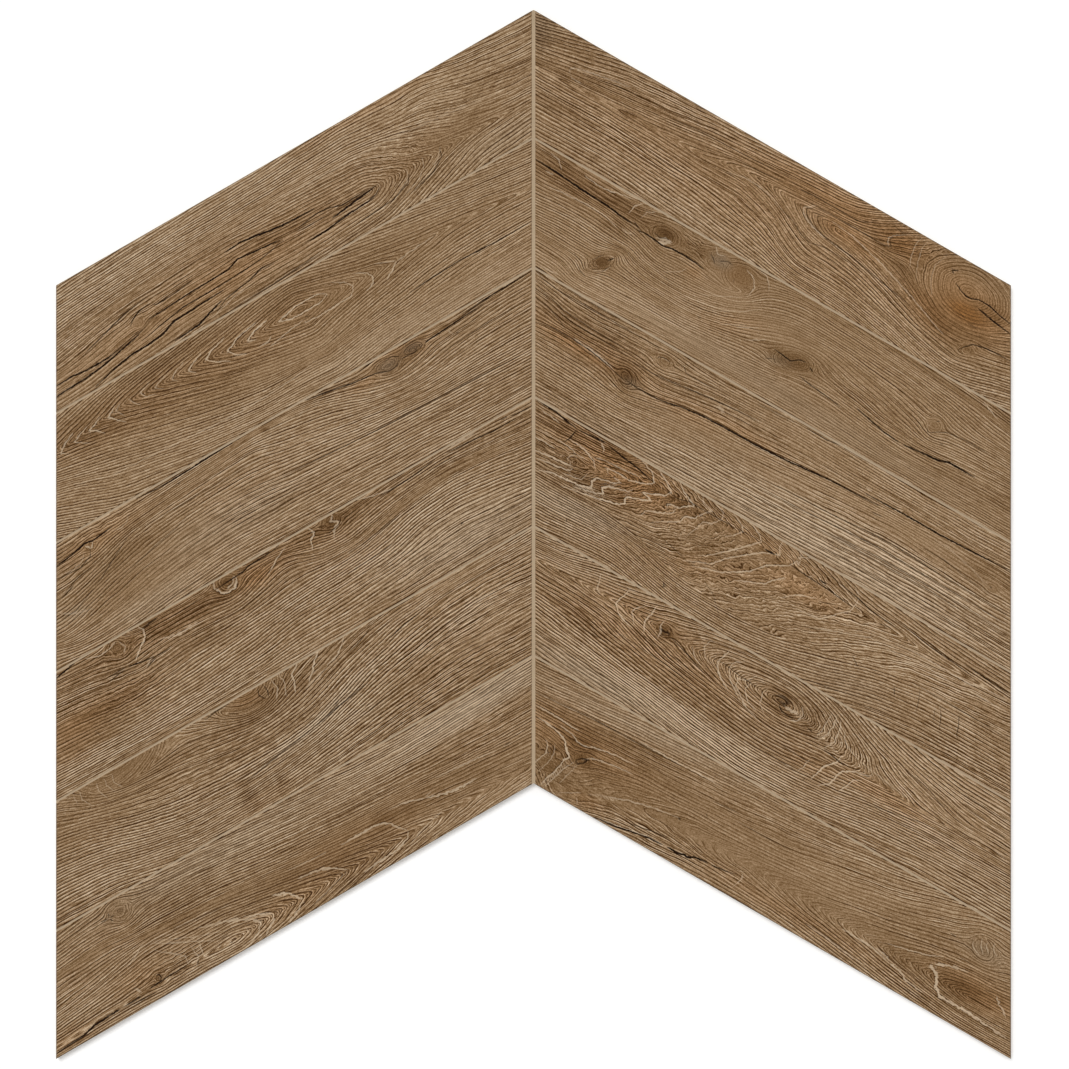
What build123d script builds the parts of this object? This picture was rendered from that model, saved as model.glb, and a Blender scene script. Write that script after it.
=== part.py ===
"""Chevron panel of wood-look porcelain planks.

Twelve mitred planks stand six on each side of a straight centre joint and slope down and
outwards from it, so that the panel is a broad V with its point towards +Y. Each plank is one
pressed and fired piece: a parallelogram with a bevelled arris round its face and a grid of
shallow keying pockets pressed into its back. One piece of grout fills the joints.

The panel lies on its back. The origin is on the bedding plane, under the middle of the
panel's box, +Y points to the tip of the V and +Z up out of the planks' faces.
Lengths are in millimetres and angles in degrees.
"""

import os
from math import cos, radians, sin

from build123d import *

# Driving dimensions
plank_length = 500.0
plank_width = 100.0
plank_thickness = 9.5
planks_per_side = 6
slope_angle = 30.0
side_joint = 2.0
centre_joint = 3.4
arris_bevel = 0.5
joint_recess = 0.9

# Keying pockets in a plank's back
key_depth = 0.7
key_rim = 8.0
key_rib = 5.0
key_pocket_length = 30.0
key_pocket_width = 25.0

# Worked out from the values above
slope = radians(slope_angle)
slant = 1 / cos(slope)  # a perpendicular distance, taken along a plank's side or its mitre
mitre_height = plank_width * slant
row_pitch = (plank_width + side_joint) * slant
plank_run = plank_length * cos(slope)
plank_drop = plank_length * sin(slope)
inner_x = centre_joint / 2
tip_rise = inner_x * sin(slope) * slant
side_height = (planks_per_side - 1) * row_pitch + mitre_height
tip_y = (tip_rise + plank_drop + side_height) / 2


def on_plank(side: int, row: int, along: float, down: float) -> tuple[float, float]:
    """A point of a plank, from its top corner at the centre joint.

    along runs down the plank's long side and down runs down its mitred end. side is -1 for
    the left half and 1 for the right half, and row counts from the tip of the V.
    """
    x = inner_x + along * cos(slope)
    y = tip_y - tip_rise - row * row_pitch - along * sin(slope) - down
    return (side * x, y)


def patch(side: int, row: int, start: tuple[float, float], size: tuple[float, float]):
    """The four corners of a part of a plank that has the plank's own slanted shape."""
    along, down = start
    length, height = size
    return [
        on_plank(side, row, along, down),
        on_plank(side, row, along + length, down),
        on_plank(side, row, along + length, down + height),
        on_plank(side, row, along, down + height),
    ]


def plank_outline(side: int, row: int):
    """The four corners of a whole plank."""
    return patch(side, row, (0, 0), (plank_length, mitre_height))


def evenly_spaced(whole: float, target: float) -> tuple[list[float], float]:
    """Starts and common size of the pockets that fill a length, with a rim and ribs left."""
    rim = key_rim * slant
    rib = key_rib * slant
    room = whole - 2 * rim
    count = max(1, round((room + rib) / (target * slant + rib)))
    size = (room - (count - 1) * rib) / count
    return [rim + number * (size + rib) for number in range(count)], size


os.makedirs("parts", exist_ok=True)

# Planks: outline, bevelled face, then the keying pockets in the back
along_starts, pocket_along = evenly_spaced(plank_length, key_pocket_length)
down_starts, pocket_down = evenly_spaced(mitre_height, key_pocket_width)

for side_name, side in (("left", -1), ("right", 1)):
    for row in range(planks_per_side):
        with BuildPart() as plank:
            with BuildSketch():
                Polygon(*plank_outline(side, row), align=None)
            extrude(amount=plank_thickness)
            chamfer(plank.edges().group_by(Axis.Z)[-1], length=arris_bevel)
            with BuildSketch():
                for along in along_starts:
                    for down in down_starts:
                        pocket = patch(side, row, (along, down), (pocket_along, pocket_down))
                        Polygon(*pocket, align=None)
            extrude(amount=key_depth, mode=Mode.SUBTRACT)
        plank.part.label = f"{side_name}_plank_{row + 1}"
        export_step(plank.part, f"parts/{plank.part.label}.step")

# Grout: the whole V less the planks, which leaves the centre joint and its side joints
outer_x = inner_x + plank_run
outer_top = tip_y - tip_rise - plank_drop
notch_y = tip_y - side_height
panel_outline = [
    (0, tip_y),
    (outer_x, outer_top),
    (outer_x, outer_top - side_height),
    (0, notch_y),
    (-outer_x, outer_top - side_height),
    (-outer_x, outer_top),
]

with BuildPart() as grout:
    with BuildSketch():
        Polygon(*panel_outline, align=None)
        for side in (-1, 1):
            for row in range(planks_per_side):
                Polygon(*plank_outline(side, row), align=None, mode=Mode.SUBTRACT)
    extrude(amount=plank_thickness - joint_recess)
grout.part.label = "grout"
export_step(grout.part, "parts/grout.step")
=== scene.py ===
"""Dresses the chevron panel: twelve wood-look porcelain planks and the grout between them.

Each plank's face is a fine sheet on which the print's grain is worked out in the plank's own
millimetres: s runs along its long side from the corner at the centre joint nearest the tip,
and t runs square to that side, from 0 at the upper edge to 100 at the lower one. The rest of
the plank, its arris, walls and keyed back, is built round that sheet by Geometry Nodes.
"""

import logging
from dataclasses import dataclass
from enum import Enum
from math import cos, radians, sin, tan

import bmesh
import bpy
import numpy as np
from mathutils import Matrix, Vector


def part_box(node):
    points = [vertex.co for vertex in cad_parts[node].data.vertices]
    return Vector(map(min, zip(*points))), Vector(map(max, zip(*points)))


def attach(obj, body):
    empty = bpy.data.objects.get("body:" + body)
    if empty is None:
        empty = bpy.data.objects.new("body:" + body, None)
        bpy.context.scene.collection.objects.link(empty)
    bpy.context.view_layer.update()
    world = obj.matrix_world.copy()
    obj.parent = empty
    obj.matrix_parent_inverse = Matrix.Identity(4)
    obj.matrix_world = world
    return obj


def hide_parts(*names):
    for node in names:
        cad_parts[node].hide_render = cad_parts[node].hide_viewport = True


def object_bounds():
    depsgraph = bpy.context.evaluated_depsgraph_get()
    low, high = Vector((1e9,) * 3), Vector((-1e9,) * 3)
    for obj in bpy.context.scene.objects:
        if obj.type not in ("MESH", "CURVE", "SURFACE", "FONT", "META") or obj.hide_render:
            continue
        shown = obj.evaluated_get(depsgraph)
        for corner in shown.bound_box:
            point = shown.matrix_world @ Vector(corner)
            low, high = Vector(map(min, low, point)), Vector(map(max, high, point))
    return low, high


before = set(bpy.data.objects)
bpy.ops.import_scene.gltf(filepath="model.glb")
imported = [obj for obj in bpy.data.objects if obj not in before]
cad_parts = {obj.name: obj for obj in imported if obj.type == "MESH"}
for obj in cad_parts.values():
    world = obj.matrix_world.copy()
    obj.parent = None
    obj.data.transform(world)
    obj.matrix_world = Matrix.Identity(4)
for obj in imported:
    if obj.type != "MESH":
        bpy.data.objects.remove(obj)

CAD_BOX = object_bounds()
MM = 0.001
SLOPE = radians(30.0)

log = logging.getLogger("chevron panel")

Point = tuple[float, float]
Track = tuple[Point, ...]
Colour = tuple[int, int, int]
Tree = bpy.types.NodeTree
Socket = bpy.types.NodeSocket
Material = bpy.types.Material


def srgb(colour: Colour) -> tuple[float, float, float, float]:
    """A colour as the eye reads it, made ready for a shader.

    Args:
        colour: Red, green and blue from 0 to 255.

    Returns:
        The same colour as linear numbers, with alpha 1.
    """
    parts = [value / 255 for value in colour]
    linear = [p / 12.92 if p <= 0.04045 else ((p + 0.055) / 1.055) ** 2.4 for p in parts]
    return (*linear, 1.0)


class Tone(Enum):
    """What a patch does to the print inside it."""

    WARM = 0
    GREY = 1
    DARK = 2
    LIMED = 3
    INKED = 4
    RIPPLE = 5
    SOFT = 6


class Ink(Enum):
    """Which of the two drawn marks a stroke is."""

    CRACK = "crack"
    LIME = "lime"


@dataclass(frozen=True)
class Stroke:
    """A mark drawn along a track of points on a plank, in millimetres."""

    track: Track
    width: float
    strength: float
    ink: Ink


@dataclass(frozen=True)
class Patch:
    """A soft oval of the print with a tone of its own."""

    tone: Tone
    at: Point
    radii: Point
    amount: float = 1.0
    tilt: float = 0.0


@dataclass(frozen=True)
class Heart:
    """The middle of a nest of grain loops.

    left and right each hold how far the loops stretch along the plank for one millimetre
    across it, and how far along they reach. A reach of 0 leaves that side open.
    """

    at: Point
    left: Point = (6.0, 0.0)
    right: Point = (6.0, 0.0)
    roundness: float = 1.7
    level: float = 0.0


@dataclass(frozen=True)
class Knot:
    """An oval that the grain flows round, with rings of its own inside."""

    at: Point
    radii: Point
    tilt: float = 0.0
    rings: float = 3.0


@dataclass(frozen=True)
class PlankGrain:
    """All that is drawn on one plank's face.

    levels gives each guide's level; without it a guide's level is its mean height. pitch is
    the millimetres of level from one grain line to the next. shade darkens the whole plank
    and soft fades all its lines.
    """

    guides: tuple[Track, ...]
    levels: tuple[float, ...] = ()
    pitch: float = 2.9
    hearts: tuple[Heart, ...] = ()
    knots: tuple[Knot, ...] = ()
    strokes: tuple[Stroke, ...] = ()
    patches: tuple[Patch, ...] = ()
    shade: float = 0.0
    soft: float = 0.0


def tracks(*rows: tuple[float, ...]) -> tuple[Track, ...]:
    """Pairs up the numbers of each row, which are s and t of one point after another."""
    return tuple(tuple(zip(row[::2], row[1::2])) for row in rows)


def strokes(ink: Ink, *rows: tuple[float, ...]) -> tuple[Stroke, ...]:
    """Draws the strokes of one ink.

    Args:
        ink: Their ink.
        *rows: For each stroke a width, a strength and the points of its track.

    Returns:
        The strokes.
    """
    drawn = tracks(*(row[2:] for row in rows))
    return tuple(Stroke(track, row[0], row[1], ink) for track, row in zip(drawn, rows))


def patches(tone: Tone, *rows: tuple[float, ...]) -> tuple[Patch, ...]:
    """Lays the patches of one tone.

    Args:
        tone: Their tone.
        *rows: For each patch its middle, its two radii, its amount and perhaps its tilt.

    Returns:
        The patches.
    """
    return tuple(Patch(tone, row[:2], row[2:4], *row[4:]) for row in rows)


@dataclass(frozen=True)
class GrainField:
    """Works out one plank's grain at any points of its face. Lengths are in millimetres."""

    grain: PlankGrain
    guide_ends: Point = (-60.0, 640.0)
    guide_step: float = 2.0
    guide_blur: float = 9.0
    heart_blend: float = 2.2
    mark_reach: float = 2.4
    mark_gap: float = 1.2
    mark_gap_start: float = 0.3
    mark_half_width: float = 0.42
    mark_tip_width: float = 0.45
    mark_tip_strength: float = 0.4
    mark_taper: float = 0.4
    far_in_widths: float = 9.0
    far_in_millimetres: float = 99.0
    patch_fall: float = 1.5
    patch_edge: float = 1.3
    knot_soft: float = 0.7
    knot_soft_fall: float = 0.6
    knot_dark: float = 0.25
    knot_dark_fall: float = 1.2

    def flow(self, s: np.ndarray, t: np.ndarray) -> np.ndarray:
        """The level of the grain lines that run the length of the plank.

        Args:
            s: Places along the plank.
            t: Places across it.

        Returns:
            A level in millimetres that is the same all along one grain line.
        """
        stations = np.arange(*self.guide_ends, self.guide_step)
        reach = int(3 * self.guide_blur / self.guide_step)
        away = np.arange(-reach, reach + 1) * self.guide_step / self.guide_blur
        bell = np.exp(-0.5 * away**2)
        bell /= bell.sum()
        lines = []
        for track in self.grain.guides:
            places, heights = zip(*track)
            line = np.interp(stations, places, heights)
            lines.append(np.convolve(np.pad(line, reach, mode="edge"), bell, mode="valid"))
        levels = self.grain.levels or [float(line.mean()) for line in lines]
        at = [np.interp(s, stations, line) for line in lines]
        found = levels[0] + np.minimum(t - at[0], 0)
        for lower, upper, low, high in zip(at, at[1:], levels, levels[1:]):
            found = found + np.clip((t - lower) / (upper - lower), 0, 1) * (high - low)
        return found + np.maximum(t - at[-1], 0)

    def ring(self, s: np.ndarray, t: np.ndarray) -> np.ndarray:
        """The level of the grain with its knots and hearts.

        Args:
            s: Places along the plank.
            t: Places across it.

        Returns:
            A level in millimetres that is the same all along one grain line or loop.
        """
        across, own = t.copy(), np.zeros_like(t)
        for knot in self.grain.knots:
            along, aside = self.in_oval(knot, s, t)
            away = np.sqrt(along**2 + aside**2)
            across = across - (t - knot.at[1]) / np.maximum(away, 1.0) ** 2
            own = own + np.clip(1 - away, 0, 1) * knot.rings
        level = self.flow(s, across)
        if self.grain.hearts:
            nests = [self.nest(heart, s, level) for heart in self.grain.hearts]
            pull = sum(np.exp(-nest / self.heart_blend) for nest in nests)
            level = -self.heart_blend * np.log(pull)
        return level + own

    def nest(self, heart: Heart, s: np.ndarray, level: np.ndarray) -> np.ndarray:
        """How far out each place is in the loops round one heart.

        Args:
            heart: The heart.
            s: Places along the plank.
            level: The level of the grain lines at each place.

        Returns:
            The level of the loops there.
        """
        middle = self.flow(np.array([heart.at[0]]), np.array([heart.at[1]]))[0]
        ds = s - heart.at[0]
        depth = np.zeros_like(s)
        for sign, (stretch, reach) in ((-1, heart.left), (1, heart.right)):
            if reach > 0:
                gone = np.maximum(sign * ds, 0)
                depth = depth + reach * (1 - np.exp(-gone / reach)) / stretch
        power = heart.roundness
        return (depth**power + np.abs(level - middle) ** power) ** (1 / power) + heart.level

    def in_oval(self, oval: Knot | Patch, s: np.ndarray, t: np.ndarray) -> tuple[np.ndarray, ...]:
        """Each place as seen from the middle of a tilted oval.

        Args:
            oval: A knot or a patch.
            s: Places along the plank.
            t: Places across it.

        Returns:
            How far each place is along the oval and to the side of it, in radii.
        """
        turn = radians(oval.tilt)
        ds, dt = s - oval.at[0], t - oval.at[1]
        along = (ds * cos(turn) + dt * sin(turn)) / oval.radii[0]
        aside = (dt * cos(turn) - ds * sin(turn)) / oval.radii[1]
        return along, aside

    def marks(self, ink: Ink, s: np.ndarray, t: np.ndarray) -> np.ndarray:
        """The nearest stroke of one ink.

        Args:
            ink: Which strokes are looked at.
            s: Places along the plank.
            t: Places across it.

        Returns:
            Three numbers a place: the signed distance from the stroke's middle line in
            half widths, the stroke's strength there, and 0. The strength is 0 half way
            between two strokes, where the distance changes its sign.
        """
        far = self.far_in_widths
        nearest, second, side = (np.full(s.shape, far) for _ in range(3))
        strength = np.zeros(s.shape)
        for stroke in self.grain.strokes:
            if stroke.ink is not ink:
                continue
            gap, own_side, own_strength = self.one_mark(stroke, s, t)
            closer = gap < nearest
            second = np.where(closer, nearest, np.minimum(second, gap))
            nearest = np.where(closer, gap, nearest)
            side = np.where(closer, own_side, side)
            strength = np.where(closer, own_strength, strength)
        lone = np.clip((second - nearest) / self.mark_gap - self.mark_gap_start, 0, 1)
        return np.stack([np.clip(side, -far, far), strength * lone, np.zeros_like(s)], -1)

    def one_mark(self, stroke: Stroke, s: np.ndarray, t: np.ndarray) -> tuple[np.ndarray, ...]:
        """One stroke seen from every place.

        Args:
            stroke: The stroke.
            s: Places along the plank.
            t: Places across it.

        Returns:
            The distance from its edge in millimetres, the signed distance from its middle
            line in half widths, and its strength.
        """
        gap = np.full(s.shape, self.far_in_millimetres)
        side, strength = np.full(s.shape, self.far_in_widths), np.zeros(s.shape)
        track = np.array(stroke.track)
        runs = np.linalg.norm(np.diff(track, axis=0), axis=1)
        gone, total = 0.0, runs.sum()
        for start, end, run in zip(track, track[1:], runs):
            way = (end - start) / run
            ds, dt = s - start[0], t - start[1]
            held = np.clip(ds * way[0] + dt * way[1], 0, run)
            off = np.hypot(ds - held * way[0], dt - held * way[1])
            share = (gone + held) / total
            swell = np.clip(4 * share * (1 - share), 0, 1) ** self.mark_taper
            breadth = self.mark_tip_width + (1 - self.mark_tip_width) * swell
            half = stroke.width * self.mark_half_width * breadth
            closer = off - half < gap
            gap = np.where(closer, off - half, gap)
            turned = np.where(way[0] * dt - way[1] * ds >= 0, off, -off)
            side = np.where(closer, turned / half, side)
            fade = np.clip(1 - (off - half) / self.mark_reach, 0, 1)
            force = self.mark_tip_strength + (1 - self.mark_tip_strength) * swell
            strength = np.where(closer, stroke.strength * fade * force, strength)
            gone += run
        return gap, side, strength

    def tones(self, s: np.ndarray, t: np.ndarray) -> dict[Tone, np.ndarray]:
        """How strong each tone is, with the plank's own shade and softness.

        Args:
            s: Places along the plank.
            t: Places across it.

        Returns:
            Each tone's strength at each place.
        """
        found = {tone: np.zeros_like(s) for tone in Tone}
        found[Tone.DARK] += self.grain.shade
        found[Tone.SOFT] += self.grain.soft
        for patch in self.grain.patches:
            along, aside = self.in_oval(patch, s, t)
            fall = (along**2 + aside**2) ** self.patch_edge
            found[patch.tone] += patch.amount * np.exp(-self.patch_fall * fall)
        for knot in self.grain.knots:
            away = ((s - knot.at[0]) / knot.radii[0]) ** 2 + ((t - knot.at[1]) / knot.radii[1]) ** 2
            found[Tone.SOFT] += self.knot_soft * np.exp(-self.knot_soft_fall * away)
            found[Tone.DARK] += self.knot_dark * np.exp(-self.knot_dark_fall * away)
        return found


@dataclass(frozen=True)
class Wiring:
    """Adds nodes to a tree and joins them, so that a tree reads like a sum."""

    tree: Tree

    def feed(self, socket: Socket, value: object) -> None:
        """Gives an input its value.

        Args:
            socket: The input.
            value: Another node's output, or a plain value.
        """
        if isinstance(value, Socket):
            self.tree.links.new(value, socket)
        else:
            socket.default_value = value

    def add(self, kind: str, inputs: dict | None = None, **settings: object) -> bpy.types.Node:
        """Adds one node.

        Args:
            kind: The node's Blender type.
            inputs: Values or sockets for its inputs, by name or number.
            **settings: The node's own settings, set before its inputs.

        Returns:
            The new node.
        """
        node = self.tree.nodes.new(kind)
        for name, value in settings.items():
            setattr(node, name, value)
        for key, value in (inputs or {}).items():
            self.feed(node.inputs[key], value)
        return node

    def math(self, operation: str, *values: object, clamp: bool = False) -> Socket:
        """The result of a Math node on the given values or sockets."""
        settings = {"operation": operation, "use_clamp": clamp}
        return self.add("ShaderNodeMath", dict(enumerate(values)), **settings).outputs[0]

    def plus(self, first: object, *others: object) -> Socket:
        """Adds values up.

        Args:
            first: The first value.
            *others: The other values, in their order.

        Returns:
            The sum of them all.
        """
        for other in others:
            first = self.math("ADD", first, other)
        return first

    def times(self, first: object, *others: object) -> Socket:
        """Multiplies values.

        Args:
            first: The first value.
            *others: The other values, in their order.

        Returns:
            The product of them all.
        """
        for other in others:
            first = self.math("MULTIPLY", first, other)
        return first

    def minus(self, first: object, second: object) -> Socket:
        """The first value less the second."""
        return self.math("SUBTRACT", first, second)

    def over(self, first: object, second: object) -> Socket:
        """The first value divided by the second."""
        return self.math("DIVIDE", first, second)

    def vector(self, x: object = 0.0, y: object = 0.0, z: object = 0.0) -> Socket:
        """Three numbers joined into a vector."""
        return self.add("ShaderNodeCombineXYZ", {0: x, 1: y, 2: z}).outputs[0]

    def parts(self, vector: Socket) -> tuple[Socket, ...]:
        """A vector's three numbers."""
        return tuple(self.add("ShaderNodeSeparateXYZ", {0: vector}).outputs)

    def scaled(self, vector: Socket, amount: object) -> Socket:
        """A vector made longer or shorter."""
        inputs = {0: vector, "Scale": amount}
        return self.add("ShaderNodeVectorMath", inputs, operation="SCALE").outputs[0]

    def joined(self, first: Socket, *others: Socket) -> Socket:
        """Adds vectors up.

        Args:
            first: The first vector.
            *others: The other vectors, in their order.

        Returns:
            The sum of them all.
        """
        for other in others:
            node = self.add("ShaderNodeVectorMath", {0: first, 1: other}, operation="ADD")
            first = node.outputs[0]
        return first

    def length(self, vector: Socket) -> Socket:
        """A vector's length."""
        node = self.add("ShaderNodeVectorMath", {0: vector}, operation="LENGTH")
        return node.outputs["Value"]

    def noise(self, place: Socket, detail: float = 2.0, rough: float = 0.5) -> Socket:
        """A noise of about one lump for each unit of place, between 0 and 1."""
        inputs = {"Vector": place, "Scale": 1.0, "Detail": detail, "Roughness": rough}
        return self.add("ShaderNodeTexNoise", inputs).outputs[0]

    def lumps(
        self,
        place: tuple[Socket, Socket],
        rates: Point,
        seed: object,
        detail: float = 2.0,
        rough: float = 0.5,
    ) -> Socket:
        """A noise over a flat place.

        Args:
            place: The place's two numbers.
            rates: How many lumps there are for one unit of each of them.
            seed: A number that tells one noise from another.
            detail: The noise's detail.
            rough: The noise's roughness.

        Returns:
            A value between 0 and 1.
        """
        x, y = (self.times(number, rate) for number, rate in zip(place, rates))
        return self.noise(self.vector(x, y, seed), detail, rough)

    def mapped(
        self, value: object, low: float, high: float, to_low: float = 0.0, to_high: float = 1.0
    ) -> Socket:
        """A value carried from one range to another and held inside it.

        Args:
            value: The value.
            low: The start of the range that it comes from.
            high: The end of that range.
            to_low: What the start becomes.
            to_high: What the end becomes.

        Returns:
            The value in its new range.
        """
        inputs = {0: value, 1: low, 2: high, 3: to_low, 4: to_high}
        return self.add("ShaderNodeMapRange", inputs, clamp=True).outputs[0]

    def swing(self, value: object, low: float, high: float, swing: float) -> Socket:
        """A value carried to a range as far below 0 as above it."""
        return self.mapped(value, low, high, -swing, swing)

    def fading(self, value: object, low: float, high: float) -> Socket:
        """1 up to low, falling to 0 at high."""
        return self.mapped(value, low, high, 1.0, 0.0)

    def blend(self, share: object, first: object, second: object, way: str = "MIX") -> Socket:
        """Two colours mixed.

        Args:
            share: How much of the second colour is taken, from 0 to 1.
            first: The first colour.
            second: The second colour.
            way: The Mix node's blend type.

        Returns:
            The mixed colour.
        """
        node = self.add("ShaderNodeMix", None, data_type="RGBA", blend_type=way)
        for number, value in ((0, share), (6, first), (7, second)):
            self.feed(node.inputs[number], value)
        return node.outputs[2]

    def geometry(self, *parts: Socket) -> Socket:
        """Joins geometries.

        Args:
            *parts: The geometries, in their order.

        Returns:
            All of them as one.
        """
        node = self.add("GeometryNodeJoinGeometry")
        for part in parts:
            self.tree.links.new(part, node.inputs[0])
        return node.outputs[0]

    def moved(self, geometry: Socket, **inputs: Socket) -> Socket:
        """A geometry moved by its Offset, or to its Position."""
        return self.add("GeometryNodeSetPosition", {0: geometry} | inputs).outputs[0]


def new_group(name: str, kind: str, inputs: dict[str, object], outputs: dict[str, str]) -> tuple:
    """Starts a node group with named sockets.

    Args:
        name: The group's name.
        kind: ShaderNodeTree or GeometryNodeTree.
        inputs: Each input's name with its socket type, or its default for a number.
        outputs: Each output's name with its socket type.

    Returns:
        The group, its wiring, its input node's sockets by name and its output node.
    """
    group = bpy.data.node_groups.new(name, kind)
    for label, value in inputs.items():
        is_number = isinstance(value, (int, float))
        number_type = "NodeSocketInt" if isinstance(value, int) else "NodeSocketFloat"
        type_name = number_type if is_number else value
        socket = group.interface.new_socket(label, in_out="INPUT", socket_type=type_name)
        if is_number:
            socket.default_value = value
    for label, type_name in outputs.items():
        group.interface.new_socket(label, in_out="OUTPUT", socket_type=type_name)
    wiring = Wiring(group)
    source = wiring.add("NodeGroupInput")
    target = wiring.add("NodeGroupOutput")
    return group, wiring, {socket.name: socket for socket in source.outputs if socket.name}, target


def use_group(wiring: Wiring, group: Tree, inputs: dict) -> dict[str, Socket]:
    """Places a group in a tree.

    Args:
        wiring: The tree's wiring.
        group: The group.
        inputs: Values or sockets for its inputs, by name.

    Returns:
        The group's outputs by name.
    """
    kind = "ShaderNodeGroup" if group.bl_idname == "ShaderNodeTree" else "GeometryNodeGroup"
    node = wiring.add(kind, inputs, node_tree=group)
    return {socket.name: socket for socket in node.outputs}


@dataclass
class SurfaceEffects:
    """The shader groups that the finishes share, each built once.

    Rates are in lumps of noise for each millimetre along the plank and across it, or for
    each line and each run where a line sways or grows thin. A range holds where a value
    starts to count and where it counts in full.
    """

    grit_detail: float = 3.0
    grit_rough: float = 0.65
    grit_range: Point = (0.28, 0.72)
    least_slope: float = 0.02
    widest_line: float = 0.46
    too_far_range: Point = (0.17, 0.27)
    too_close_range: Point = (0.52, 0.78)
    sway_rate: float = 0.45
    thin_line_rates: Point = (1.37, 1.4)
    thin_line_range: Point = (0.34, 0.62)
    line_core: float = 0.3
    line_edge: float = 0.56
    ragged_rates: Point = (0.6, 1.2)
    ragged_range: Point = (0.2, 0.8)
    ragged_swing: float = 0.4
    thin_mark_rates: Point = (0.11, 0.11)
    thin_mark_range: Point = (0.3, 0.55)
    thin_mark_strengths: Point = (0.85, 1.2)
    bend_rates: Point = (0.28, 0.35)
    bend_range: Point = (0.25, 0.75)
    mark_edge: Point = (0.8, 1.2)
    # Where the band of painted shade and highlight lies beside a mark, in half widths
    painted_light_middle: float = 1.7
    painted_light_edge: Point = (0.4, 1.0)

    def __post_init__(self) -> None:
        """Builds the groups."""
        self.grit = self.make_grit()
        self.lines = self.make_lines()
        self.mark = self.make_mark()

    def make_grit(self) -> Tree:
        """Fine grains all over a surface.

        Returns:
            A group with Place in millimetres, the Grain's size and puts out Grit, 0 to 1.
        """
        inputs = {"Place": "NodeSocketVector", "Grain": 1.0}
        outputs = {"Grit": "NodeSocketFloat"}
        group, w, source, target = new_group("grit", "ShaderNodeTree", inputs, outputs)
        in_grains = w.scaled(source["Place"], w.over(1.0, source["Grain"]))
        fine = w.noise(in_grains, self.grit_detail, self.grit_rough)
        w.feed(target.inputs["Grit"], w.mapped(fine, *self.grit_range))
        return group

    def make_lines(self) -> Tree:
        """Grain lines that follow the rings, each a dark line with a pale one beside it.

        The lines keep their width where the rings spread out. They fade where they would
        stand too close together or too far apart, so that other lines can take their place.

        Returns:
            A group with Ring in lines, its Slope in lines for each millimetre, Along in
            millimetres, a Plank number, the Pitch of these lines in rings, the Run over which
            one lasts and its Width in millimetres. With Always at 1 the lines fade nowhere.
            It puts out Dark and Pale, 0 to 1.
        """
        inputs = {"Ring": 0.0, "Slope": 0.4, "Along": 0.0, "Plank": 0.0, "Pitch": 1.0, "Run": 60.0}
        inputs |= {"Wobble": 0.8, "Width": 0.8, "Faint": 0.3, "Always": 0.0}
        outputs = {"Dark": "NodeSocketFloat", "Pale": "NodeSocketFloat"}
        group, w, source, target = new_group("grain_lines", "ShaderNodeTree", inputs, outputs)
        along = w.over(source["Along"], source["Run"])
        level = w.over(source["Ring"], source["Pitch"])

        # How many lines there are in a millimetre, and how much of that room one line takes
        rate = w.math("MAXIMUM", w.over(source["Slope"], source["Pitch"]), self.least_slope)
        wide = w.math("MINIMUM", w.times(source["Width"], rate), self.widest_line)
        shown = w.times(w.mapped(rate, *self.too_far_range), w.fading(rate, *self.too_close_range))
        shown = w.math("MAXIMUM", shown, source["Always"])

        # Which line a place is on, and how far it is from that line's middle
        sway = w.noise(w.vector(w.times(level, self.sway_rate), along, source["Plank"]))
        phase = w.plus(level, w.times(sway, source["Wobble"]))
        number = w.math("FLOOR", phase)
        place = w.minus(w.minus(phase, number), 0.5)
        for name, lean, share, seed in (("Dark", 0.45, 0.9, 3.1), ("Pale", -0.6, 1.3, 8.7)):
            seed = w.plus(source["Plank"], seed)
            thin = w.lumps((number, along), self.thin_line_rates, seed, 1.5)
            found = w.mapped(thin, *self.thin_line_range)
            strength = w.plus(found, w.times(w.minus(1.0, found), source["Faint"]))
            off = w.math("ABSOLUTE", w.plus(place, w.times(wide, lean)))
            line = w.fading(w.over(off, wide), self.line_core * share, self.line_edge * share)
            w.feed(target.inputs[name], w.times(line, shown, strength))
        return group

    def make_mark(self) -> Tree:
        """A drawn mark with ragged edges and thin places.

        Returns:
            A group with Side and Strength as GrainField.marks gives them, Place in
            millimetres and the Wiggle of the mark in half widths. It puts out Mark and a
            band along one side of it, 0 to 1, where the print lays painted shadow beside
            lime marks and painted highlight beside cracks, so that the marks look lit from one side.
        """
        inputs = {"Side": 0.0, "Strength": 0.0, "Place": "NodeSocketVector", "Wiggle": 1.0}
        outputs = {"Mark": "NodeSocketFloat", "Painted Light Band": "NodeSocketFloat"}
        group, w, source, target = new_group("ragged_mark", "ShaderNodeTree", inputs, outputs)
        s, t, plank = w.parts(source["Place"])
        ragged = w.lumps((s, t), self.ragged_rates, plank)
        thin = w.lumps((s, t), self.thin_mark_rates, plank, 1.0)
        bend = w.lumps((s, t), self.bend_rates, plank, 1.5)
        kept = w.mapped(thin, *self.thin_mark_range, *self.thin_mark_strengths)
        held = w.times(source["Strength"], kept)
        shift = w.swing(ragged, *self.ragged_range, self.ragged_swing)
        bent = w.times(w.swing(bend, *self.bend_range, 1.0), source["Wiggle"])
        side = w.plus(source["Side"], bent)
        inside = w.fading(w.plus(w.math("ABSOLUTE", side), shift), *self.mark_edge)
        # The band of painted light: a strip along one side of the mark, darkened as painted shadow beside
        # lime marks and lightened as painted highlight beside cracks
        beside = w.math("ABSOLUTE", w.minus(w.plus(side, shift), self.painted_light_middle))
        shade = w.fading(beside, *self.painted_light_edge)
        w.feed(target.inputs["Mark"], w.math("MULTIPLY", inside, held, clamp=True))
        w.feed(target.inputs["Painted Light Band"], w.math("MULTIPLY", shade, held, clamp=True))
        return group


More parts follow.
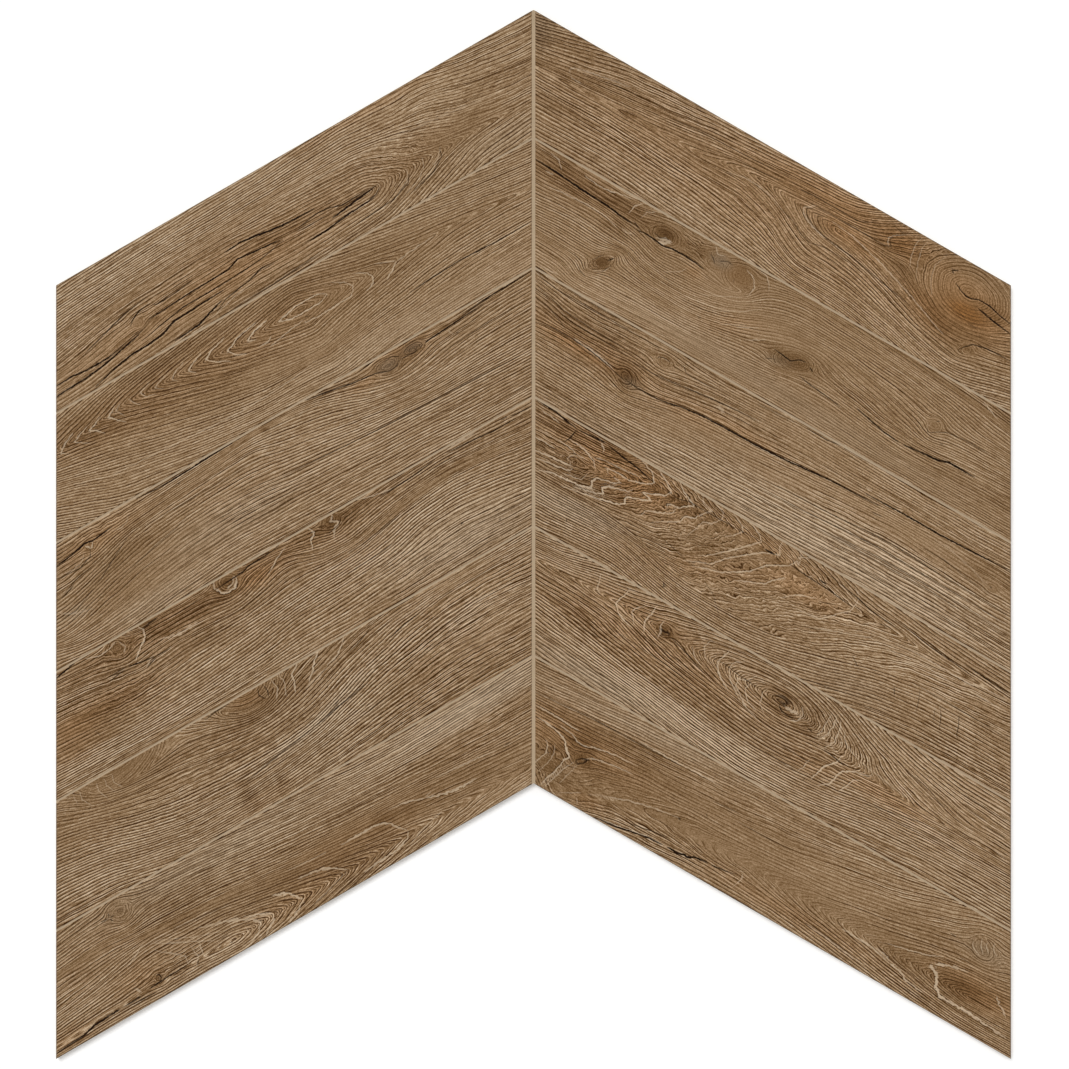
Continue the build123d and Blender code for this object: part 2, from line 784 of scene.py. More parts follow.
def new_material(name: str, rough: float, specular: float) -> tuple:
    """Starts a material whose Principled BSDF is plain.

    Args:
        name: The material's name.
        rough: Its roughness.
        specular: Its specular level.

    Returns:
        The material, its wiring and its Principled BSDF.
    """
    material = bpy.data.materials.new(name)
    material.use_nodes = True
    shader = material.node_tree.nodes["Principled BSDF"]
    shader.inputs["Roughness"].default_value = rough
    shader.inputs["Specular IOR Level"].default_value = specular
    return material, Wiring(material.node_tree), shader


def add_relief(w: Wiring, shader: bpy.types.Node, height: Socket, strength: float, depth: float) -> None:
    """Gives a shader a fine relief.

    Args:
        w: The material's wiring.
        shader: Its Principled BSDF.
        height: The relief's height.
        strength: How much of it shows.
        depth: Its depth in millimetres.
    """
    inputs = {"Height": height, "Strength": strength, "Distance": depth * MM}
    w.feed(shader.inputs["Normal"], w.add("ShaderNodeBump", inputs).outputs[0])


@dataclass(frozen=True)
class LineSet:
    """Grain lines of one spacing.

    pitch is in rings and run in millimetres. faint is how much of a line is left in its
    thin places. With always at 1 the lines fade nowhere.
    """

    pitch: float
    run: float
    wobble: float
    faint: float
    share: float
    always: float = 0.0


@dataclass(frozen=True)
class WoodPrint:
    """The matt wood print on a plank's face.

    The print's tone runs from 0, deep, to 1, limed. band, cloud, dash and speck are how far
    those noises swing it, and their rates are in lumps for each unit of place.
    """

    deep: Colour = (56, 31, 8)
    brown: Colour = (107, 79, 48)
    tan: Colour = (140, 112, 81)
    pale: Colour = (169, 142, 111)
    limed: Colour = (211, 189, 160)
    crack: Colour = (27, 14, 4)
    warm: Colour = (152, 106, 60)
    grey: Colour = (136, 119, 98)
    rim: Colour = (104, 86, 64)
    main: LineSet = LineSet(1.0, 90.0, 0.35, 0.72, 0.95)
    fine: LineSet = LineSet(0.5, 60.0, 0.5, 0.55, 0.85)
    finest: LineSet = LineSet(0.25, 50.0, 0.5, 0.4, 0.8)
    broad: LineSet = LineSet(2.0, 120.0, 0.3, 0.5, 0.4)
    rare: LineSet = LineSet(3.1, 120.0, 0.6, 0.0, 0.8, always=1.0)
    middle: float = 0.468
    line_width: float = 0.8
    pale_line: float = 0.33
    limed_line: float = 0.5
    dark_line: float = 0.48
    inked_line: float = 0.66
    least_rare: float = 0.02
    crispest: float = 1.8
    softest: float = 0.2
    noise_range: Point = (0.25, 0.75)
    band: float = 0.04
    band_rates: Point = (0.3, 0.006)
    cloud: float = 0.035
    cloud_rates: Point = (0.035, 0.09)
    dash: float = 0.18
    dash_rates: tuple[float, float, float] = (2.2, 0.1, 0.8)
    dash_range: Point = (0.3, 0.7)
    dash_step: float = 17.0
    speck: float = 0.17
    speck_size: float = 1.1
    dark_patch: float = -0.28
    grey_patch: float = 0.04
    # Painted shadow along one side of each lime mark and painted highlight along one side of each crack
    lime_painted_shadow: float = -0.25
    crack_painted_highlight: float = 0.12
    lime_wiggle: float = 1.2
    crack_wiggle: float = 0.4
    warm_tint: float = 0.6
    grey_tint: float = 0.5
    lime_cover: float = 0.75
    rim_cover: float = 0.6
    rim_ragged: float = 0.3
    rim_range: Point = (0.3, 0.8)
    line_relief: float = 0.5
    speck_relief: float = 0.35
    crack_relief: float = 1.5
    relief_strength: float = 0.25
    relief_depth: float = 0.15
    rough: float = 0.62
    rough_swing: float = 0.08
    specular: float = 0.04

    def material(self, effects: SurfaceEffects) -> Material:
        """Builds the finish.

        Args:
            effects: The shader groups that finishes share.

        Returns:
            The material.
        """
        material, w, shader = new_material("wood_print", self.rough, self.specular)
        vectors = {name: self.read(w, name, "Vector") for name in ("place", "tone", "lining")}
        ring, slope, edge = (self.read(w, name, "Fac") for name in ("ring", "slope", "edge"))
        place = vectors["place"]
        s, t, plank = w.parts(place)
        warm, grey, dark = w.parts(vectors["tone"])
        limed, inked, soft = w.parts(vectors["lining"])
        shared = {"Ring": ring, "Slope": slope, "Along": s, "Plank": plank, "Width": self.line_width}
        main, fine, finest, broad, rare = (
            self.lines(w, effects, line_set, shared)
            for line_set in (self.main, self.fine, self.finest, self.broad, self.rare)
        )
        lime, crack = (
            self.mark(w, effects, name, place, wiggle)
            for name, wiggle in (("lime", self.lime_wiggle), ("crack", self.crack_wiggle))
        )

        # The print's own unevenness
        band = w.lumps((ring, s), self.band_rates, plank, 2.5)
        cloud = w.lumps((s, t), self.cloud_rates, plank)
        dashes = [w.times(value, rate) for value, rate in zip((ring, s, t), self.dash_rates)]
        dashes[0] = w.plus(dashes[0], w.times(plank, self.dash_step))
        dash = w.noise(w.vector(*dashes), 2.0, 0.6)
        speck = use_group(w, effects.grit, {"Place": place, "Grain": self.speck_size})["Grit"]

        # How far each thing shifts the print from its middle tone
        crisp = w.mapped(soft, -1.0, 1.0, self.crispest, self.softest)
        pale = w.times(w.mapped(limed, 0.0, 1.0, self.pale_line, self.limed_line), crisp)
        ink = w.times(w.mapped(inked, 0.0, 1.0, -self.dark_line, -self.inked_line), crisp)
        rare_pale = w.mapped(limed, 0.0, 1.0, self.least_rare, self.rare.share * self.limed_line)
        shifts = [
            w.swing(band, *self.noise_range, self.band),
            w.swing(cloud, *self.noise_range, self.cloud),
            w.times(w.swing(dash, *self.dash_range, self.dash), crisp),
            w.swing(speck, 0.0, 1.0, self.speck),
            w.times(dark, self.dark_patch),
            w.times(grey, self.grey_patch),
            # Painted shadow beside the lime marks and painted highlight beside the cracks
            w.times(lime["Painted Light Band"], self.lime_painted_shadow),
            w.times(crack["Painted Light Band"], self.crack_painted_highlight),
            w.times(rare["Pale"], rare_pale),
            w.times(rare["Dark"], ink),
        ]
        for lines, line_set in (
            (main, self.main),
            (fine, self.fine),
            (finest, self.finest),
            (broad, self.broad),
        ):
            both = w.plus(w.times(lines["Pale"], pale), w.times(lines["Dark"], ink))
            shifts.append(w.times(both, line_set.share))
        colour = self.ramp(w, w.plus(self.middle, *shifts))

        # Tints and marks over it
        warm_share = w.math("MULTIPLY", warm, self.warm_tint, clamp=True)
        grey_share = w.math("MULTIPLY", grey, self.grey_tint, clamp=True)
        colour = w.blend(warm_share, colour, srgb(self.warm), "COLOR")
        colour = w.blend(grey_share, colour, srgb(self.grey), "COLOR")
        colour = w.blend(w.times(lime["Mark"], self.lime_cover), colour, srgb(self.limed))
        colour = w.blend(crack["Mark"], colour, srgb(self.crack))
        # A thin darker band of the print along the panel's outer edges only
        uneven = w.minus(edge, w.times(speck, self.rim_ragged))
        rim_share = w.mapped(uneven, *self.rim_range, 0.0, self.rim_cover)
        colour = w.blend(rim_share, colour, srgb(self.rim))
        w.feed(shader.inputs["Base Color"], colour)

        raised = w.minus(main["Pale"], main["Dark"])
        height = w.plus(w.times(raised, self.line_relief), w.times(speck, self.speck_relief))
        height = w.minus(height, w.times(crack["Mark"], self.crack_relief))
        add_relief(w, shader, height, self.relief_strength, self.relief_depth)
        roughest, smoothest = self.rough + self.rough_swing, self.rough - self.rough_swing
        w.feed(shader.inputs["Roughness"], w.mapped(raised, -1, 1, roughest, smoothest))
        return material

    def read(self, w: Wiring, name: str, output: str) -> Socket:
        """Reads one of the values that the face sheet carries."""
        return w.add("ShaderNodeAttribute", None, attribute_name=name).outputs[output]

    def lines(
        self, w: Wiring, effects: SurfaceEffects, line_set: LineSet, shared: dict
    ) -> dict[str, Socket]:
        """Draws the lines of one spacing.

        Args:
            w: The material's wiring.
            effects: The shader groups that finishes share.
            line_set: The lines' spacing and look.
            shared: The inputs that are the same for all spacings.

        Returns:
            The lines' Dark and Pale.
        """
        inputs = shared | {"Pitch": line_set.pitch, "Run": line_set.run, "Wobble": line_set.wobble}
        inputs |= {"Faint": line_set.faint, "Always": line_set.always}
        return use_group(w, effects.lines, inputs)

    def mark(
        self, w: Wiring, effects: SurfaceEffects, name: str, place: Socket, wiggle: float
    ) -> dict[str, Socket]:
        """Draws the strokes of one ink.

        Args:
            w: The material's wiring.
            effects: The shader groups that finishes share.
            name: The face sheet's value that holds the strokes.
            place: The place on the plank.
            wiggle: How far a stroke wanders, in half widths.

        Returns:
            The strokes' Mark and the band of painted shade and highlight beside them.
        """
        side, strength, _ = w.parts(self.read(w, name, "Vector"))
        inputs = {"Side": side, "Strength": strength, "Place": place, "Wiggle": wiggle}
        return use_group(w, effects.mark, inputs)

    def ramp(self, w: Wiring, value: Socket) -> Socket:
        """The print's colour.

        Args:
            w: The material's wiring.
            value: How pale the print is, from 0 to 1.

        Returns:
            The colour.
        """
        node = w.add("ShaderNodeValToRGB", {0: value})
        stops = ((0.0, self.deep), (0.3, self.brown), (0.5, self.tan), (0.7, self.pale), (1.0, self.limed))
        elements = node.color_ramp.elements
        for number, (place, colour) in enumerate(stops):
            stop = elements[number] if number < 2 else elements.new(place)
            stop.position = place
            stop.color = srgb(colour)
        return node.outputs[0]


@dataclass(frozen=True)
class BareSurface:
    """A finish that is grainy all over, without a print. Sizes are in millimetres."""

    name: str
    main: Colour
    other: Colour
    rough: float
    specular: float
    grain_size: float
    cloud_size: float
    relief_strength: float
    relief_depth: float

    def material(self, effects: SurfaceEffects) -> Material:
        """Builds the finish.

        Args:
            effects: The shader groups that finishes share.

        Returns:
            The material.
        """
        material, w, shader = new_material(self.name, self.rough, self.specular)
        in_mm = w.scaled(w.add("ShaderNodeTexCoord").outputs["Object"], 1 / MM)
        grain, cloud = (
            use_group(w, effects.grit, {"Place": in_mm, "Grain": size})["Grit"]
            for size in (self.grain_size, self.cloud_size)
        )
        colour = w.blend(self.share(w, grain, cloud), srgb(self.main), srgb(self.other))
        w.feed(shader.inputs["Base Color"], colour)
        add_relief(w, shader, grain, self.relief_strength, self.relief_depth)
        return material

    def share(self, w: Wiring, grain: Socket, cloud: Socket) -> Socket:
        """How much of the other colour shows."""
        raise NotImplementedError


@dataclass(frozen=True)
class Biscuit(BareSurface):
    """The bare fired body on a plank's walls and back."""

    name: str = "biscuit"
    main: Colour = (196, 184, 166)
    other: Colour = (172, 156, 134)
    rough: float = 0.8
    specular: float = 0.3
    grain_size: float = 1.2
    cloud_size: float = 60.0
    relief_strength: float = 0.3
    relief_depth: float = 0.1
    grain_share: float = 0.35
    cloud_share: float = 0.6

    def share(self, w: Wiring, grain: Socket, cloud: Socket) -> Socket:
        """How much dust shows, in specks and in clouds."""
        shares = w.times(grain, self.grain_share), w.times(cloud, self.cloud_share)
        return w.math("ADD", *shares, clamp=True)


@dataclass(frozen=True)
class SandyGrout(BareSurface):
    """The tan cement in the joints."""

    name: str = "sandy_grout"
    main: Colour = (181, 160, 133)
    other: Colour = (160, 140, 114)
    rough: float = 0.9
    specular: float = 0.15
    grain_size: float = 0.6
    cloud_size: float = 30.0
    relief_strength: float = 0.4
    relief_depth: float = 0.12
    sand_share: float = 0.8

    def share(self, w: Wiring, grain: Socket, cloud: Socket) -> Socket:
        """How much sand shows, more of it in some clouds than in others."""
        return w.times(grain, cloud, self.sand_share)


def plain_mesh(piece: bpy.types.Object) -> None:
    """Turns a piece's Geometry Nodes result into its own plain mesh facing out, and logs its open edges.

    Args:
        piece: The object, which loses its modifiers.
    """
    graph = bpy.context.evaluated_depsgraph_get()
    made = bpy.data.meshes.new_from_object(piece.evaluated_get(graph), depsgraph=graph)
    piece.modifiers.clear()
    old = piece.data
    piece.data = made
    bpy.data.meshes.remove(old)
    made.name = piece.name
    shape = bmesh.new()
    shape.from_mesh(made)
    bmesh.ops.recalc_face_normals(shape, faces=shape.faces)
    open_edges = sum(not edge.is_manifold for edge in shape.edges)
    shape.to_mesh(made)
    shape.free()
    log.info("%s: %d faces, %d open edges", piece.name, len(made.polygons), open_edges)


def run_tree(piece: bpy.types.Object, tree: Tree, values: dict[str, object]) -> None:
    """Runs a Geometry Nodes tree on a piece and keeps its result as a plain mesh.

    Args:
        piece: The object that holds the tree's starting mesh.
        tree: The tree.
        values: The tree's inputs by name.
    """
    modifier = piece.modifiers.new(tree.name, "NODES")
    modifier.node_group = tree
    for item in tree.interface.items_tree:
        if item.in_out == "INPUT" and item.name in values:
            modifier[item.identifier] = values[item.name]
    plain_mesh(piece)


@dataclass(frozen=True)
class PlankPlace:
    """Where one plank lies, read from its CAD node. Lengths are in millimetres."""

    node: str
    side: int
    row: int

    @property
    def corners(self) -> tuple[Vector, Vector]:
        """The CAD node's lowest and highest corners, in metres."""
        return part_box(self.node)

    @property
    def inner(self) -> float:
        """How far the plank's inner end is from the middle of the centre joint."""
        low, high = self.corners
        return min(abs(low.x), abs(high.x)) / MM

    @property
    def length(self) -> float:
        """The plank's long side."""
        low, high = self.corners
        return (high.x - low.x) / MM / cos(SLOPE)

    @property
    def width(self) -> float:
        """The plank's width, square to its long side."""
        low, high = self.corners
        return ((high.y - low.y) / MM - self.length * sin(SLOPE)) * cos(SLOPE)

    @property
    def thickness(self) -> float:
        """The plank's thickness."""
        return self.corners[1].z / MM

    def on_panel(self, s: np.ndarray, t: np.ndarray) -> tuple[np.ndarray, np.ndarray]:
        """The place on the panel of a place on the plank's face.

        Args:
            s: The place along the plank.
            t: The place across it.

        Returns:
            The panel's x and y in metres.
        """
        top = self.corners[1].y
        x = self.side * (self.inner + s * cos(SLOPE) - t * sin(SLOPE)) * MM
        return x, top - (s * sin(SLOPE) + t * cos(SLOPE)) * MM

    def direction(self, s: float, t: float) -> Vector:
        """A step on the plank's face as a vector of the panel, in metres."""
        x = self.side * (s * cos(SLOPE) - t * sin(SLOPE)) * MM
        return Vector((x, -(s * sin(SLOPE) + t * cos(SLOPE)) * MM, 0))


class PlankTree:
    """The Geometry Nodes tree that makes a plank's body round its printed face."""

    weld: float = 1e-5
    wander_rates: Point = (0.022, 0.06)
    ripple_rates: Point = (0.13, 0.16)
    lump_range: Point = (0.2, 0.8)
    pressed_edge: Point = (0.5, 2.0)
    swell_rate: float = 0.01
    swell_height: float = 0.6

    def __init__(self) -> None:
        """Builds the tree."""
        inputs = {
            "Geometry": "NodeSocketGeometry",
            "Thickness": 0.0095,
            "Arris": 0.0005,
            "Wander": 0.35,
            "Ripple": 0.6,
            "Relief": 0.0001,
            "Number": 1.0,
            "Along": "NodeSocketVector",
            "Down": "NodeSocketVector",
            "Corner": "NodeSocketVector",
            "Rim": 0.08,
            "Rib Along": 0.05,
            "Rib Down": 0.05,
            "Rim Down": 0.1,
            "Pockets Along": 12,
            "Pockets Down": 3,
            "Pocket Depth": 0.0007,
            "Print": "NodeSocketMaterial",
            "Body": "NodeSocketMaterial",
        }
        outputs = {"Geometry": "NodeSocketGeometry"}
        made = new_group("plank_body", "GeometryNodeTree", inputs, outputs)
        self.tree, self.w, self.source, target = made
        face, walls = self.arris_and_walls(self.printed_face())
        back = self.keyed_back(walls)
        w = self.w
        top = w.add("GeometryNodeSetMaterial", {0: face, "Material": self.source["Print"]})
        rest = w.add("GeometryNodeSetMaterial", {0: back, "Material": self.source["Body"]})
        whole = w.geometry(rest.outputs[0], top.outputs[0])
        merged = w.add("GeometryNodeMergeByDistance", {0: whole, "Distance": self.weld})
        real = w.add("GeometryNodeRealizeInstances", {0: merged.outputs[0]})
        w.feed(target.inputs["Geometry"], real.outputs[0])

    def attribute(self, name: str, kind: str = "FLOAT") -> Socket:
        """Reads one of the face sheet's own values."""
        return self.w.add("GeometryNodeInputNamedAttribute", {0: name}, data_type=kind).outputs[0]

    def stored(self, geometry: Socket, name: str, value: Socket, kind: str, domain: str) -> Socket:
        """Keeps a value on a geometry.

        Args:
            geometry: The geometry.
            name: The value's name.
            value: The value.
            kind: Its data type.
            domain: What carries it.

        Returns:
            The geometry with its value.
        """
        inputs = {"Geometry": geometry, "Name": name, "Value": value}
        settings = {"data_type": kind, "domain": domain}
        return self.w.add("GeometryNodeStoreNamedAttribute", inputs, **settings).outputs[0]

    def printed_face(self) -> Socket:
        """Makes the grain lines wander and presses the marks in.

        Returns:
            The face sheet.
        """
        w, source = self.w, self.source
        s, t, _ = w.parts(self.attribute("place", "FLOAT_VECTOR"))
        slow = w.lumps((s, t), self.wander_rates, source["Number"])
        quick = w.lumps((s, t), self.ripple_rates, source["Number"], 2.5, 0.55)
        wander = w.times(w.swing(slow, *self.lump_range, 1.0), source["Wander"])
        ripple = w.times(w.swing(quick, *self.lump_range, 1.0), self.attribute("ripple"))
        ring = w.plus(self.attribute("ring"), wander, w.times(ripple, source["Ripple"]))
        face = self.stored(source["Geometry"], "ring", ring, "FLOAT", "POINT")
        side, strength, _ = w.parts(self.attribute("crack", "FLOAT_VECTOR"))
        pressed = w.times(w.fading(w.math("ABSOLUTE", side), *self.pressed_edge), strength)
        swell = w.times(w.noise(w.vector(ring, w.times(s, self.swell_rate))), self.swell_height)
        depth = w.times(w.plus(pressed, swell), source["Relief"])
        rim = w.length(self.attribute("arris", "FLOAT_VECTOR"))
        is_inside = w.math("LESS_THAN", rim, 1e-6)
        drop = w.vector(0.0, 0.0, w.times(depth, is_inside, -1.0))
        return w.moved(face, Offset=drop)

    def arris_and_walls(self, face: Socket) -> tuple[Socket, Socket]:
        """Lays the arris and the walls round the face.

        Args:
            face: The printed face.

        Returns:
            The face with its arris, and the walls alone.
        """
        w = self.w
        faces_beside = w.add("GeometryNodeInputMeshEdgeNeighbors").outputs[0]
        rim = w.math("COMPARE", faces_beside, 1.0, 0.1)
        outward = self.attribute("arris", "FLOAT_VECTOR")
        inputs = {0: face, "Selection": rim, "Offset": outward, "Offset Scale": 1.0}
        bevel = w.add("GeometryNodeExtrudeMesh", inputs, mode="EDGES").outputs
        down = w.vector(0.0, 0.0, w.minus(self.source["Arris"], self.source["Thickness"]))
        inputs = {0: bevel[0], "Selection": bevel["Top"], "Offset": down}
        wall = w.add("GeometryNodeExtrudeMesh", inputs, mode="EDGES").outputs
        whole = self.stored(wall[0], "foot", wall["Top"], "BOOLEAN", "EDGE")
        split = w.add("GeometryNodeSeparateGeometry", {0: whole, 1: wall["Side"]}, domain="FACE")
        return split.outputs["Inverted"], split.outputs["Selection"]

    def keyed_back(self, walls: Socket) -> Socket:
        """Closes the plank with a back that has its keying pockets.

        Args:
            walls: The walls, whose lowest edges carry the value foot.

        Returns:
            The walls and the back together.
        """
        w, source = self.w, self.source
        foot = self.attribute("foot", "BOOLEAN")
        outline = w.add("GeometryNodeMeshToCurve", {0: walls, "Selection": foot}).outputs[0]
        rims = self.pocket_rims()
        loops = w.geometry(rims, outline)
        ribs = w.add("GeometryNodeFillCurve", {0: loops}, mode="TRIANGLES").outputs[0]
        up = w.vector(0.0, 0.0, source["Pocket Depth"])
        floors = w.add("GeometryNodeFillCurve", {0: rims}, mode="NGONS").outputs[0]
        edges = w.add("GeometryNodeCurveToMesh", {0: rims}).outputs[0]
        inputs = {0: edges, "Offset": up, "Offset Scale": 1.0}
        flanks = w.add("GeometryNodeExtrudeMesh", inputs, mode="EDGES").outputs[0]
        return w.geometry(walls, ribs, w.moved(floors, Offset=up), flanks)

    def pocket_rims(self) -> Socket:
        """Spaces the pockets evenly inside the back's rim.

        Returns:
            The slanted outlines of all the pockets.
        """
        w, source = self.w, self.source
        sides, starts = [], []
        total = w.times(source["Pockets Along"], source["Pockets Down"])
        index = w.add("GeometryNodeInputIndex").outputs[0]
        count = source["Pockets Along"]
        column = w.math("MODULO", index, count)
        line = w.math("FLOOR", w.over(w.plus(index, 0.01), count))
        for way, rim, place in (("Along", "Rim", column), ("Down", "Rim Down", line)):
            rib, count = source[f"Rib {way}"], source[f"Pockets {way}"]
            room = w.minus(1.0, w.times(source[rim], 2.0))
            ribs = w.times(w.minus(count, 1.0), rib)
            size = w.over(w.minus(room, ribs), count)
            start = w.plus(source[rim], w.times(place, w.plus(size, rib)))
            sides.append(w.scaled(source[way], size))
            starts.append(w.scaled(source[way], start))
        along, down = sides
        corners = {"Point 1": (0.0, 0.0, 0.0), "Point 2": along, "Point 3": w.joined(along, down)}
        corners["Point 4"] = down
        quad = w.add("GeometryNodeCurvePrimitiveQuadrilateral", None, mode="POINTS")
        for socket in quad.inputs:
            if socket.enabled and socket.name in corners:
                w.feed(socket, corners[socket.name])
        spots = w.add("GeometryNodePoints", {"Count": total}).outputs[0]
        placed = w.moved(spots, Position=w.joined(source["Corner"], *starts))
        inputs = {"Points": placed, "Instance": quad.outputs[0]}
        pockets = w.add("GeometryNodeInstanceOnPoints", inputs).outputs[0]
        return w.add("GeometryNodeRealizeInstances", {0: pockets}).outputs[0]


@dataclass
class BakeMap:
    """Lays a plank out for a bake, with most of the map given to the printed face.

    Each band holds where it starts up the map and how tall it is. end_along is where the
    ends lie along their half of the map.
    """

    place: PlankPlace
    margin: float = 0.01
    face: Point = (0.22, 0.77)
    back: Point = (0.11, 0.1)
    upper_wall: Point = (0.06, 0.035)
    lower_wall: Point = (0.01, 0.035)
    ends: Point = (0.1, 0.008)
    end_half: float = 0.5
    end_along: Point = (0.05, 0.4)
    flat: float = 0.3
    upright: float = 0.95

    def apply(self, mesh: bpy.types.Mesh) -> None:
        """Gives the mesh its map.

        Args:
            mesh: The finished mesh.
        """
        corners = np.zeros(len(mesh.loops), np.int32)
        mesh.loops.foreach_get("vertex_index", corners)
        sizes = np.zeros(len(mesh.polygons), np.int32)
        mesh.polygons.foreach_get("loop_total", sizes)
        at = self.threes(mesh.vertices, "co")[corners] / MM
        facing = np.repeat(self.threes(mesh.polygons, "normal"), sizes, axis=0)
        top = self.place.corners[1].y / MM
        x, y = np.abs(at[:, 0]) - self.place.inner, top - at[:, 1]
        s = x * cos(SLOPE) + y * sin(SLOPE)
        t = y * cos(SLOPE) - x * sin(SLOPE)
        along = (s - t * tan(SLOPE)) / self.place.length
        across = t / self.place.width
        height = at[:, 2] / self.place.thickness
        is_face, is_back = facing[:, 2] > self.flat, facing[:, 2] < -self.flat
        is_wall = ~is_face & ~is_back
        is_end = is_wall & (np.abs(facing[:, 0]) > self.upright)
        is_lower = is_wall & ~is_end & (across > 0.5)
        v = self.band(self.face, across)
        v = np.where(is_back, self.band(self.back, across), v)
        v = np.where(is_wall, self.band(self.upper_wall, height), v)
        v = np.where(is_lower, self.band(self.lower_wall, height), v)
        v = np.where(is_end, self.band(self.ends, height), v)
        half = np.where(along < 0.5, 0.0, self.end_half)
        u = self.margin + (1 - 2 * self.margin) * along
        u = np.where(is_end, half + self.band(self.end_along, across), u)
        layer = mesh.uv_layers.new(name="OFBake")
        layer.uv.foreach_set("vector", np.stack([u, v], -1).astype(np.float32).ravel())

    @staticmethod
    def threes(items: bpy.types.bpy_prop_collection, name: str) -> np.ndarray:
        """Reads one value of three numbers from each of a mesh's items.

        Args:
            items: The mesh's vertices or faces.
            name: The value's name.

        Returns:
            Three numbers for each item.
        """
        values = np.zeros(len(items) * 3, np.float32)
        items.foreach_get(name, values)
        return values.reshape(-1, 3)

    @staticmethod
    def band(band: Point, share: np.ndarray) -> np.ndarray:
        """Places in a band of the map."""
        start, size = band
        return start + size * share


